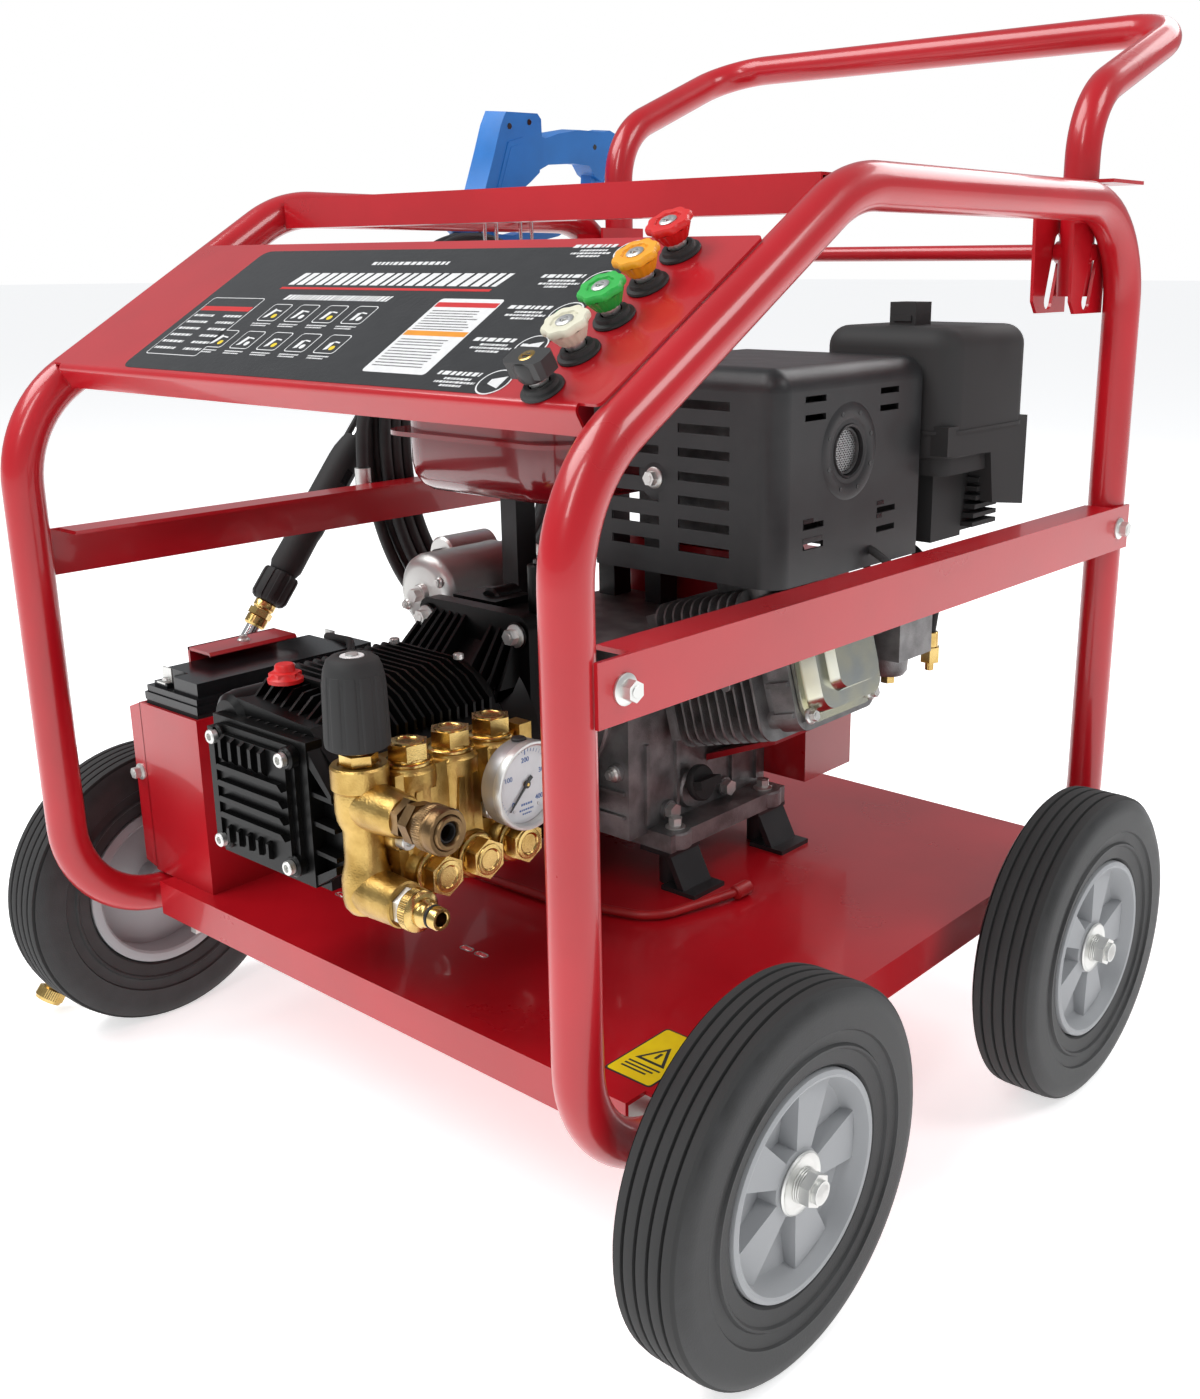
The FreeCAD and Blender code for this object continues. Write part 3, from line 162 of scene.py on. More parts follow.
RED = surface("red_coat", (0.50, 0.006, 0.014), (0.43, 0.005, 0.011), 9, (0.24, 0.34), coat=0.45, grain=0.05,
              grain_scale=260)
TANK_RED = surface("tank_coat", (0.25, 0.004, 0.010), (0.21, 0.004, 0.008), 9, (0.18, 0.26), coat=1.0,
                   grain=0.04, grain_scale=260)
BLACK_COAT = surface("black_coat", (0.018, 0.018, 0.019), (0.011, 0.011, 0.012), 40, (0.34, 0.46), grain=0.22,
                     grain_scale=1500)
CAST_BLACK = surface("cast_black", (0.020, 0.020, 0.021), (0.010, 0.010, 0.011), 70, (0.38, 0.60), grain=0.7,
                     grain_scale=800)
BLACK_PLASTIC = surface("black_plastic", (0.022, 0.022, 0.023), (0.015, 0.015, 0.016), 50, (0.40, 0.52),
                        grain=0.35, grain_scale=1800)
GLOSS_BLACK = surface("gloss_black", (0.014, 0.014, 0.015), (0.009, 0.009, 0.010), 20, (0.16, 0.28),
                      grain=0.05, grain_scale=300)
RUBBER = surface("rubber", (0.020, 0.020, 0.020), (0.011, 0.011, 0.011), 60, (0.50, 0.68), grain=0.35,
                 grain_scale=1200)
SIDEWALL = surface("sidewall", (0.024, 0.024, 0.025), (0.012, 0.012, 0.012), 45, (0.42, 0.62), grain=0.3,
                   grain_scale=900)
# tread rubber: its lighter brown-grey colour is a painted sheen on the tyres' outer radius
TREAD_SHEEN = surface("tread", (0.075, 0.066, 0.056), (0.026, 0.025, 0.024), 28, (0.42, 0.66), grain=0.35,
                grain_scale=900)
HUB_GREY = surface("hub_grey", (0.36, 0.37, 0.39), (0.30, 0.31, 0.33), 30, (0.34, 0.46), grain=0.15,
                   grain_scale=900)
ZINC = surface("zinc", (0.66, 0.66, 0.65), (0.46, 0.47, 0.49), 90, (0.18, 0.36), metal=1.0, grain=0.1)
YELLOW_ZINC = surface("yellow_zinc", (0.62, 0.60, 0.46), (0.50, 0.52, 0.50), 25, (0.14, 0.26), metal=1.0,
                      grain=0.05)
CHROME = surface("chrome", (0.80, 0.80, 0.80), (0.62, 0.62, 0.64), 60, (0.08, 0.16), metal=1.0)
STEEL = surface("steel", (0.40, 0.40, 0.40), (0.26, 0.26, 0.27), 60, (0.28, 0.44), metal=1.0, grain=0.25,
                stretch=(1, 1, 6))
ALLOY = surface("cast_alloy", (0.34, 0.34, 0.34), (0.20, 0.20, 0.20), 50, (0.40, 0.58), metal=0.85, grain=0.8,
                grain_scale=700)
DARK_ALLOY = surface("dark_alloy", (0.16, 0.16, 0.16), (0.08, 0.08, 0.08), 60, (0.40, 0.58), metal=0.8,
                     grain=0.6, grain_scale=700)
BRASS = surface("cast_brass", (0.62, 0.42, 0.14), (0.40, 0.25, 0.07), 55, (0.24, 0.42), metal=1.0, grain=0.55,
                grain_scale=750)
BRIGHT_BRASS = surface("turned_brass", (0.72, 0.52, 0.20), (0.52, 0.34, 0.11), 70, (0.16, 0.30), metal=1.0,
                       grain=0.12)
BRONZE = surface("bronze", (0.30, 0.19, 0.09), (0.17, 0.105, 0.05), 60, (0.26, 0.42), metal=1.0, grain=0.3)
BLUE = surface("blue_plastic", (0.010, 0.175, 0.56), (0.008, 0.145, 0.47), 22, (0.30, 0.42), grain=0.15)
WHITE = surface("white_print", (0.80, 0.80, 0.80), (0.74, 0.74, 0.74), 200, (0.3, 0.4))
DIAL = surface("dial_white", (0.72, 0.74, 0.76), (0.66, 0.68, 0.70), 60, (0.25, 0.32), coat=0.6)
INK_RED = surface("red_print", (0.60, 0.010, 0.012), (0.55, 0.010, 0.012), 80, (0.3, 0.4))
INK_ORANGE = surface("orange_print", (0.80, 0.30, 0.01), (0.74, 0.27, 0.01), 80, (0.3, 0.4))
INK_YELLOW = surface("yellow_print", (0.85, 0.62, 0.01), (0.80, 0.56, 0.01), 80, (0.3, 0.4))
INK_BLUE = surface("blue_print", (0.06, 0.16, 0.42), (0.06, 0.14, 0.38), 80, (0.3, 0.4))
INK_GREEN = surface("green_print", (0.01, 0.30, 0.10), (0.01, 0.26, 0.09), 80, (0.3, 0.4))
DECAL = surface("decal_black", (0.016, 0.016, 0.017), (0.012, 0.012, 0.013), 60, (0.16, 0.24), coat=0.25,
                grain=0.5, grain_scale=300)
RED_SLEEVE = surface("red_sleeve", (0.42, 0.010, 0.012), (0.34, 0.008, 0.010), 60, (0.35, 0.5))
CAPS = {
    "black": surface("cap_black", (0.015, 0.015, 0.015), (0.010, 0.010, 0.010), 60, (0.26, 0.38), grain=0.2),
    "white": surface("cap_cream", (0.78, 0.74, 0.58), (0.70, 0.66, 0.50), 60, (0.28, 0.38), grain=0.2),
    "green": surface("cap_green", (0.030, 0.42, 0.030), (0.020, 0.34, 0.025), 60, (0.28, 0.38), grain=0.2),
    "yellow": surface("cap_amber", (0.88, 0.32, 0.005), (0.80, 0.27, 0.005), 60, (0.28, 0.38), grain=0.2),
    "red": surface("cap_red", (0.72, 0.010, 0.015), (0.62, 0.008, 0.012), 60, (0.28, 0.38), grain=0.2),
}

ORIGIN = (0, 0, 0)
AXES = {"x": Matrix(((0, 0, 1), (0, 1, 0), (-1, 0, 0))), "-x": Matrix(((0, 0, -1), (0, 1, 0), (1, 0, 0))),
        "y": Matrix(((1, 0, 0), (0, 0, 1), (0, -1, 0))), "-y": Matrix(((1, 0, 0), (0, 0, -1), (0, 1, 0))),
        "z": Matrix.Identity(3), "-z": Matrix(((1, 0, 0), (0, -1, 0), (0, 0, -1)))}


def rounded_path(points, radii, steps=14):
    """Points along straight runs joined by arcs, for a bent steel tube."""
    path = [Vector(points[0])]
    for before, here, after, r in zip(points, points[1:-1], points[2:], radii):
        corner, back, ahead = Vector(here), Vector(before) - Vector(here), Vector(after) - Vector(here)
        back.normalize()
        ahead.normalize()
        half = back.angle(ahead) / 2
        middle_way = (back + ahead).normalized()
        centre = corner + middle_way * (r / math.sin(half))
        start = corner + back * (r / math.tan(half)) - centre
        end = corner + ahead * (r / math.tan(half)) - centre
        turn = start.angle(end)
        for k in range(steps + 1):
            a = k / steps
            arm = (start * math.sin((1 - a) * turn) + end * math.sin(a * turn)) / math.sin(turn)
            path.append(centre + arm)
    path.append(Vector(points[-1]))
    return path


class Piece:
    """Solids in millimetres gathered into one object; self.at places what is added next."""

    def __init__(self):
        self.bm = bmesh.new()
        self.slots = []
        self.at = Matrix.Identity(4)

    def add(self, verts, faces, material, rounded=0.0, segments=2):
        if material not in self.slots:
            self.slots.append(material)
        index = self.slots.index(material)
        made = [self.bm.verts.new(self.at @ Vector(v)) for v in verts]
        for face in faces:
            new = self.bm.faces.new([made[i] for i in face])
            new.material_index = index
        if rounded:
            edges = {e for v in made for e in v.link_edges if len(e.link_faces) == 2
                     and e.calc_face_angle(0) > 0.6}
            bmesh.ops.bevel(self.bm, geom=list(edges), offset=rounded, segments=segments, profile=0.5,
                            affect="EDGES", clamp_overlap=True)
        return made

    def box(self, lo, hi, material, rounded=0.0, segments=2):
        """A block between two corners."""
        (a, b, c), (d, e, f) = lo, hi
        verts = [(x, y, z) for z in (c, f) for y in (b, e) for x in (a, d)]
        faces = [(0, 2, 3, 1), (4, 5, 7, 6), (0, 1, 5, 4), (2, 6, 7, 3), (0, 4, 6, 2), (1, 3, 7, 5)]
        self.add(verts, faces, material, rounded, segments)

    def prism(self, outline, axis, lo, hi, material, rounded=0.0, segments=2, shrink=1.0, about=(0, 0)):
        """An outline in the two other axes, between two places along one axis."""
        def corner(p, q, h):
            return {"x": (h, p, q), "y": (p, h, q), "z": (p, q, h)}[axis]
        area = sum(a[0] * b[1] - b[0] * a[1] for a, b in zip(outline, outline[1:] + outline[:1]))
        ring = outline if (area > 0) != (axis == "y") else outline[::-1]
        n = len(ring)
        far = [(about[0] + (p - about[0]) * shrink, about[1] + (q - about[1]) * shrink) for p, q in ring]
        verts = [corner(p, q, lo) for p, q in ring] + [corner(p, q, hi) for p, q in far]
        faces = [tuple(range(n))[::-1], tuple(range(n, 2 * n))]
        faces += [(k, (k + 1) % n, n + (k + 1) % n, n + k) for k in range(n)]
        self.add(verts, faces, material, rounded, segments)

    def lathe(self, profile, at, axis, material, steps=48, closed=False, lobes=None):
        """(radius, height) points turned about a line; lobes(angle) may swell the radius."""
        turn = AXES[axis]
        rows, verts = [], []
        for r, h in profile:
            if r < 1e-6:
                rows.append([len(verts)])
                verts.append(Vector(at) + turn @ Vector((0, 0, h)))
                continue
            rows.append(range(len(verts), len(verts) + steps))
            for k in range(steps):
                a = 2 * math.pi * k / steps
                swell = lobes(a) if lobes else 1.0
                verts.append(Vector(at)
                             + turn @ Vector((r * swell * math.cos(a), r * swell * math.sin(a), h)))
        faces = []
        pairs = list(zip(rows, rows[1:] + (rows[:1] if closed else [])))
        for low, high in pairs[:len(rows) if closed else len(rows) - 1]:
            for k in range(steps):
                j = (k + 1) % steps
                if len(low) == 1 and len(high) == 1:
                    continue
                if len(low) == 1:
                    faces.append((low[0], high[j], high[k]))
                elif len(high) == 1:
                    faces.append((low[k], low[j], high[0]))
                else:
                    faces.append((low[k], low[j], high[j], high[k]))
        self.add(verts, faces, material)

    def disc(self, r, at, axis, lo, hi, material, edge=0.6, steps=40):
        """A solid drum with softened rims."""
        self.lathe([(0, lo), (r - edge, lo), (r, lo + edge), (r, hi - edge), (r - edge, hi), (0, hi)],
                   at, axis, material, steps)

    def pipe(self, r, hole, at, axis, lo, hi, material, edge=0.5, steps=40):
        profile = [(hole, lo), (r - edge, lo), (r, lo + edge), (r, hi - edge), (r - edge, hi), (hole, hi)]
        self.lathe(profile, at, axis, material, steps, closed=True)

    def hexagon(self, flats, at, axis, lo, hi, material, rounded=0.8, sides=6, turned=0.0):
        turn = AXES[axis]
        r = flats / 2 / math.cos(math.pi / sides)
        spots = [2 * math.pi * (k + turned) / sides for k in range(sides)]
        verts = [Vector(at) + turn @ Vector((r * math.cos(a), r * math.sin(a), h)) for h in (lo, hi)
                 for a in spots]
        n = sides
        faces = [tuple(range(n))[::-1], tuple(range(n, 2 * n))]
        faces += [(k, (k + 1) % n, n + (k + 1) % n, n + k) for k in range(n)]
        self.add(verts, faces, material, rounded)

    def sweep(self, path, r, material, sides=20):
        """A round bar along a list of points."""
        path = [Vector(p) for p in path]
        verts, faces = [], []
        normal = None
        for k, here in enumerate(path):
            ahead = path[min(k + 1, len(path) - 1)] - path[max(k - 1, 0)]
            ahead.normalize()
            if normal is None:
                normal = ahead.orthogonal().normalized()
            normal = (normal - ahead * normal.dot(ahead)).normalized()
            other = ahead.cross(normal)
            verts += [here + (normal * math.cos(a) + other * math.sin(a)) * r
                      for a in (2 * math.pi * j / sides for j in range(sides))]
        for k in range(len(path) - 1):
            for j in range(sides):
                i = (j + 1) % sides
                faces.append((k * sides + j, k * sides + i, (k + 1) * sides + i, (k + 1) * sides + j))
        last = (len(path) - 1) * sides
        faces += [tuple(range(sides))[::-1], tuple(range(last, last + sides))]
        self.add(verts, faces, material)

    def tube(self, points, radii, r, material, sides=20, steps=14):
        self.sweep(rounded_path(points, radii, steps), r, material, sides)

    def screw(self, at, axis, r, h, material=None, socket=True):
        """A socket-head cap screw, or a flanged hexagon bolt."""
        metal = material or ZINC
        if socket:
            self.lathe([(0, 0), (r - 0.5, 0), (r, 0.5), (r, h - 0.7), (r - 0.7, h), (r * 0.55, h),
                        (r * 0.5, h - r * 0.5), (0, h - r * 0.5)], at, axis, metal, 24)
        else:
            self.lathe([(0, 0), (r * 1.45, 0), (r * 1.45, 1.2), (r * 1.1, 2.4), (0, 2.4)], at, axis, metal,
                       32)
            self.hexagon(r * 1.75, at, axis, 2.4, h, metal, 0.5)
            self.disc(r * 0.55, at, axis, h, h + 0.5, metal, 0.2, 20)

    def done(self, name, body, slot, *replaced, sharp=34):
        self.bm.transform(ROW)
        bmesh.ops.recalc_face_normals(self.bm, faces=self.bm.faces[:])
        mesh = bpy.data.meshes.new(name)
        self.bm.to_mesh(mesh)
        self.bm.free()
        for material in self.slots:
            mesh.materials.append(material)
        for face in mesh.polygons:
            face.use_smooth = True
        mesh.set_sharp_from_angle(angle=math.radians(sharp))
        thing = bpy.data.objects.new(name, mesh)
        bpy.context.collection.objects.link(thing)
        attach(thing, body)
        if replaced:
            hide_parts(*replaced)
        return thing


def finish_node(name, material, bevel=0.0):
    """Give a CAD node its material, softened edges and smooth shading."""
    thing = nodes[name]
    thing.data.materials.clear()
    thing.data.materials.append(material)
    if bevel:
        soft = thing.modifiers.new("edges", "BEVEL")
        soft.width, soft.segments, soft.limit_method = bevel * 0.001, 2, "ANGLE"
        soft.angle_limit, soft.harden_normals = math.radians(40), True


look()
studio()

# ---------------------------------------------------------------- frame tubes

HOOP_Y0, HOOP_Y1, TOP_Z = -329.0, 372.0, 749.0
SLOPE_Z, SLOPE_Y = 584.5, -60.3
WHEEL_IN, WHEEL_Y, AXLE_Z = 342, 217, 133.5        # tyre's inner face, axle, axle height
DECK_TOP = 169.0


def hoops():
    for side, word in ((-1, "left"), (1, "right")):
        x = side * 304
        piece = Piece()
        piece.tube([(x, -236, 150), (x, HOOP_Y0, 150), (x, HOOP_Y0, SLOPE_Z), (x, SLOPE_Y, TOP_Z),
                    (x, HOOP_Y1, TOP_Z), (x, HOOP_Y1, 150), (x, 275, 150)], [86, 100, 110, 85, 75], 16, RED,
                    36)
        for y in (-238, 277):
            piece.lathe([(14.5, -2), (17.5, -1), (17.5, 1), (14.5, 2)], (x, y, 150), "y", RED, 30,
                        closed=True)
        piece.done(word + "_tube", "frame", "frame_red", word + "_hoop", sharp=60)


def handle():
    piece = Piece()
    x = 268.5
    piece.tube([(-x, 350, 672), (-x, 350, 833), (-x, 545, 912), (x, 545, 912), (x, 350, 833), (x, 350, 672)],
               [70, 55, 55, 70], 15, RED, 36, 16)
    for side in (-1, 1):
        piece.pipe(9.5, 7.0, (side * x, 346, 709), "x", -15.6, 15.6, RED, 0.4, 28)
    piece.done("handle_tube", "push_handle", "handle_red", "push_handle", sharp=60)


hoops()
handle()
for name, material, bevel in (
        ("deck", RED, 1.2), ("frame_bars", RED, 0.8), ("handle_brackets", RED, 0.5),
        ("battery_box", RED, 0.8),
        ("control_panel", RED, 0.7), ("panel_grommets", RUBBER, 0.3), ("handle_rod", RED, 0.4),
        ("hanger_hooks", CHROME, 0), ("axles", ZINC, 0.4), ("fasteners", ZINC, 0.3),
        ("battery", GLOSS_BLACK, 1.0),
        ("battery_cables", RUBBER, 0), ("engine_mounts", BLACK_COAT, 0.8), ("crankcase", ALLOY, 1.2),
        ("cylinder", ALLOY, 0.6), ("valve_cover", YELLOW_ZINC, 0.6), ("fan_shrouds", RED, 2.5),
        ("recoil_handle", BLACK_PLASTIC, 0), ("fuel_tank", TANK_RED, 4.0), ("tank_cap", BLACK_PLASTIC, 1),
        ("muffler", STEEL, 0), ("muffler_shield", BLACK_COAT, 0.4), ("air_cleaner", BLACK_PLASTIC, 1.5),
        ("carburettor", ALLOY, 0.8), ("starter_motor", ZINC, 1.0), ("oil_cap", BLACK_PLASTIC, 0.4),
        ("crankshaft", STEEL, 0), ("flywheel", DARK_ALLOY, 0), ("piston", ALLOY, 0),
        ("bell_housing", CAST_BLACK, 1.2),
        ("pump_crankcase", CAST_BLACK, 0.8), ("pump_head", BRASS, 1.0), ("valve_caps", BRIGHT_BRASS, 0.6),
        ("unloader_knob", BLACK_PLASTIC, 0.6), ("pressure_gauge", STEEL, 0.4),
        ("gauge_needle", GLOSS_BLACK, 0),
        ("outlet_coupler", BRONZE, 0.6), ("coupler_sleeve", BRASS, 0.5), ("inlet_spigot", BRIGHT_BRASS, 0.3),
        ("gun_body", BLUE, 3.0), ("gun_trigger", BLUE, 1.5), ("lance", BLACK_PLASTIC, 0.8),
        ("hose_ends", ZINC, 0.3)):
    finish_node(name, material, bevel)
for side in ("left", "right"):
    for end in ("front", "rear"):
        finish_node("tyre_%s_%s" % (end, side), SIDEWALL)
        finish_node("hub_%s_%s" % (end, side), HUB_GREY, 0.8)
for word, material in CAPS.items():
    finish_node("nozzle_" + word, material, 0.6)


# ---------------------------------------------------------------- panel and nozzles

SLOPE = math.atan2(TOP_Z - SLOPE_Z, SLOPE_Y - HOOP_Y0)
ON_SLOPE = Matrix.Translation((0, HOOP_Y0, SLOPE_Z)) @ Matrix.Rotation(SLOPE, 4, "X")
NOZZLE_S = [60, 96, 132, 168, 204]


def rounded_box(x0, x1, y0, y1, r, steps=5):
    """Outline of a rectangle with round corners."""
    corners = ((x1 - r, y1 - r, 0), (x0 + r, y1 - r, 90), (x0 + r, y0 + r, 180), (x1 - r, y0 + r, 270))
    return [(cx + r * math.cos(math.radians(start + 90 * k / steps)),
             cy + r * math.sin(math.radians(start + 90 * k / steps)))
            for cx, cy, start in corners for k in range(steps + 1)]


def arc(cx, cy, r, start, end, steps=6):
    return [(cx + r * math.cos(math.radians(start + (end - start) * k / steps)),
             cy + r * math.sin(math.radians(start + (end - start) * k / steps))) for k in range(steps + 1)]


def panel():
    piece = Piece()
    piece.at = ON_SLOPE
    flat = rounded_box(-300, 300, 51, 224, 4)
    piece.prism(flat, "z", 16, 18, RED, 0.4)
    fold = arc(51, 13, 5, 90, 180) + [(46, -2), (48, -2)] + arc(51, 13, 3, 180, 90)
    piece.prism(fold, "x", -284, 284, RED)
    piece.done("panel", "frame", "frame_red", "control_panel")


def bars(piece, x0, x1, s, height, rnd, ink, top=18.34, lean=0.22):
    """A line of small leaning bars that stands for print."""
    x = x0
    spread = (0.3, 0.62) if height > 5 else (0.5, 1.7)
    while x < x1 - height * 0.25:
        width = min(rnd.uniform(*spread) * height, x1 - x)
        tilt = lean * height
        piece.prism([(x, s), (x + width, s), (x + width + tilt, s + height), (x + tilt, s + height)], "z",
                    18.2, top, ink)
        x += width + (0.2 if height > 5 else 0.45) * height


def decal():
    piece = Piece()
    piece.at = ON_SLOPE
    rnd = random.Random(11)
    piece.prism(rounded_box(-196, 216, 52, 213, 9), "z", 17.9, 18.25, DECAL)

    def patch(outline, ink, top):
        piece.prism(outline, "z", 18.1, top, ink)

    bars(piece, -112, 118, 165, 16, rnd, WHITE, lean=0.3)
    patch([(-116, 159), (116, 159), (116.6, 161.8), (-115.4, 161.8)], INK_RED, 18.33)
    bars(piece, -40, 44, 192, 4, rnd, WHITE, lean=0)
    bars(piece, -96, 26, 145, 6.5, rnd, WHITE, lean=0.3)
    for row, (s, count) in enumerate(((117, 4), (82, 5))):
        for k in range(count):
            x = -98 + k * 33 - row * 26
            patch(rounded_box(x, x + 23, s, s + 22, 3), WHITE, 18.33)
            patch(rounded_box(x + 0.8, x + 22.2, s + 0.8, s + 21.2, 2.4), DECAL, 18.37)
            patch([(x + 4 + k, s + 4), (x + 8 + k, s + 5), (x + 12, s + 14), (x + 8, s + 16 - k)], WHITE,
                  18.41)
            patch(rounded_box(x + 13, x + 18, s + 4, s + 9, 2.2), INK_YELLOW if k % 2 == 0 else WHITE, 18.41)
            patch([(x + 12, s + 13), (x + 18, s + 12), (x + 18, s + 13.4), (x + 12, s + 14.4)], WHITE, 18.41)
            bars(piece, x, x + 22, s - 4, 1.3, rnd, WHITE)
            bars(piece, x + 1, x + 19, s - 6.5, 1.3, rnd, WHITE)
    patch(rounded_box(-186, -118, 70, 146, 3), WHITE, 18.33)
    patch(rounded_box(-185.2, -118.8, 70.8, 145.2, 2.4), DECAL, 18.37)
    patch([(-184, 128), (-120, 128), (-120, 134), (-184, 134)], INK_RED, 18.41)
    for k in range(6):
        bars(piece, -183, -156, 120 - k * 8.6, 2.8, rnd, WHITE, 18.42)
        bars(piece, -144, -122, 120 - k * 8.6, 2.8, rnd, WHITE, 18.42)
    patch(rounded_box(78, 140, 66, 150, 3), WHITE, 18.33)
    patch([(79, 140), (139, 140), (139, 145.5), (79, 145.5)], INK_RED, 18.37)
    patch([(79, 107), (139, 107), (139, 112.5), (79, 112.5)], INK_ORANGE, 18.37)
    for k in range(11):
        bars(piece, 82, 82 + rnd.uniform(44, 54), 135 - k * 3.0 if k < 8 else 102 - (k - 8) * 3.0, 1.1, rnd,
             BLACK_PLASTIC, 18.37)
    for k in range(7):
        bars(piece, 82, 82 + rnd.uniform(44, 54), 92 - k * 3.2, 1.1, rnd, BLACK_PLASTIC, 18.37)
    inks = (DECAL, WHITE, INK_GREEN, INK_ORANGE, INK_RED)
    for s, ink in zip(NOZZLE_S, inks):
        piece.lathe([(0, 18.1), (12.5, 18.1), (12.5, 18.33), (0, 18.33)], (205, s + 4, 0), "z", WHITE, 36)
        piece.lathe([(0, 18.1), (11.4, 18.1), (11.4, 18.37), (0, 18.37)], (205, s + 4, 0), "z", DECAL, 36)
        patch([(200, s + 2), (212, s - 2), (212, s + 10), (200, s + 6)], WHITE, 18.41)
        patch([(196, s + 1), (201, s + 1), (201, s + 7), (196, s + 7)], ink, 18.45)
        bars(piece, 150, 188, s + 8, 3.8, rnd, WHITE)
        bars(piece, 160, 184, s + 3.5, 2.0, rnd, WHITE)
        bars(piece, 154, 190, s, 2.0, rnd, WHITE)
        bars(piece, 162, 182, s - 3.5, 2.0, rnd, WHITE)
    piece.at = Matrix.Identity(4)
    piece.prism([(-150, -40.6), (-82, -40.6), (-82, -38), (-150, -38)], "z", 596, 622, INK_YELLOW, 0.4)
    for x in (-138, -116, -94):
        piece.disc(4.5, (x, -40.6, 609), "-y", 0, 0.3, GLOSS_BLACK, 0.1, 20)
    piece.done("panel_print", "frame", "cap_black")


def nozzles():
    for s, (word, cap) in zip(NOZZLE_S, CAPS.items()):
        piece = Piece()
        piece.at = ON_SLOPE @ Matrix.Translation((249, s, 18))
        piece.lathe([(0, -14), (4.6, -14), (5.4, -12), (5.6, 5), (6.2, 6), (6.2, 9), (7.4, 9.6), (7.4, 12),
                     (0, 12)], ORIGIN, "z", ZINC, 32)
        insert = BRIGHT_BRASS if word == "black" else STEEL
        if word == "black":
            piece.lathe([(0, 9.5), (9, 9.5), (10.4, 12), (10.4, 20), (9, 22.4), (0, 22.4)], ORIGIN, "z",
                        cap, 48)
            piece.prism([(-15, -5), (-12, -8), (12, -8), (15, -5), (15, 5), (12, 8), (-12, 8), (-15, 5)],
                        "z", 12.6, 23.6, cap, 2.2, 3)
        else:
            wave = lambda a: 1 + 0.035 * math.cos(16 * a)
            crown = lambda a: 1 + 0.055 * math.cos(8 * a)
            piece.lathe([(0, 9.6), (8.0, 9.6), (8.8, 10.4), (9.6, 12), (12.6, 17.6), (13.2, 18.6)],
                        ORIGIN, "z", cap, 128, lobes=wave)
            piece.lathe([(13.0, 18.2), (14.4, 19.2), (14.7, 20.4), (14.6, 22.4), (13.8, 23.6), (9.4, 24),
                         (8.6, 23.8), (8.0, 22.6), (0, 22.6)], ORIGIN, "z", cap, 128, lobes=crown)
        piece.lathe([(0, 22.2), (5.8, 22.2), (5.8, 23.2), (4.9, 23.8), (2.8, 23.8), (2.0, 22.6), (0, 22.6)],
                    ORIGIN, "z", insert, 32)
        piece.box((-4, -0.5, 23.5), (4, 0.5, 24.1), insert)
        piece.done("spray_" + word, "nozzle_" + word, "cap_" + cap.name[4:], "nozzle_" + word)
    rings = Piece()
    for s in NOZZLE_S:
        rings.at = ON_SLOPE @ Matrix.Translation((249, s, 18))
        rings.lathe([(6.9, -5), (9.4, -5), (9.4, 0), (13.2, 0), (13.8, 0.8), (13.4, 2.2), (11.2, 2.9),
                     (10.6, 5.2), (9.8, 5.8), (7.4, 5.8), (6.9, 5.2)], ORIGIN, "z", RUBBER, 48, closed=True)
    rings.done("grommets", "frame", "rubber_black", "panel_grommets")


panel()
decal()
nozzles()


# ---------------------------------------------------------------- wheels

def wheel(side, end, word):
    piece = Piece()
    axis = "x" if side > 0 else "-x"
    at = (side * WHEEL_IN, end * WHEEL_Y, AXLE_Z)
    outer = [(106, 57.2), (118, 57.6), (125, 56.4), (130.5, 53)]
    rings = [(78, 51), (80, 53), (90, 54.5), (91.4, 56.2), (93, 56.6), (94.6, 54.6), (96, 54.4), (103, 55.6),
             (104.2, 57.4)]
    inner = [(r, 58 - h) for r, h in reversed(rings + outer)]
    tread = [(132.6, 7)]
    for k in range(4):
        h = 14.5 + k * 9.7
        tread += [(133.4, h - 1.9), (133.2, h - 1.3), (130.6, h - 0.9), (130.6, h + 0.9), (133.2, h + 1.3),
                  (133.4, h + 1.9)]
    tread += [(132.6, 51)]
    # the tread band takes the lighter tread colour, a painted sheen
    piece.lathe(inner[-1:] + tread + outer[-1:], at, axis, TREAD_SHEEN, 96)
    piece.lathe(outer[::-1] + rings[::-1] + [(78, 51), (77, 29), (78, 7)] + inner, at, axis, SIDEWALL, 96)
    bmesh.ops.remove_doubles(piece.bm, verts=piece.bm.verts[:], dist=0.01)
    piece.done("tyre_" + word, "wheel_" + word, "tread", "tyre_" + word, sharp=30)

    hub = Piece()
    hub.lathe([(8.05, 4), (19, 4), (21, 6), (22, 24), (66, 30), (67, 6), (69, 4), (74, 3.6), (77, 5),
               (77, 52),
               (76.4, 54), (73.6, 55.2), (71.6, 54.4), (70.4, 50.5), (68.6, 40), (66, 36), (24, 32), (23, 46),
               (20, 48), (8.05, 48)], at, axis, HUB_GREY, 80, closed=True)
    hub.at = Matrix.Translation(at) @ AXES[axis].to_4x4()
    for k in range(5):
        lie = hub.at
        hub.at = lie @ Matrix.Rotation(2 * math.pi * (k + 0.25) / 5, 4, "Z")
        verts = [(20, -9, 28), (68, -21.5, 30), (68, 21.5, 30), (20, 9, 28),
                 (20, -8, 46.5), (68, -18.5, 44), (68, 18.5, 44), (20, 8, 46.5)]
        hub.add(verts, [(0, 1, 2, 3), (7, 6, 5, 4), (0, 4, 5, 1), (1, 5, 6, 2), (2, 6, 7, 3), (3, 7, 4, 0)],
                HUB_GREY, 1.4)
        hub.at = lie
    hub.at = Matrix.Identity(4)
    hub.done("rim_" + word, "wheel_" + word, "hub_grey", "hub_" + word)


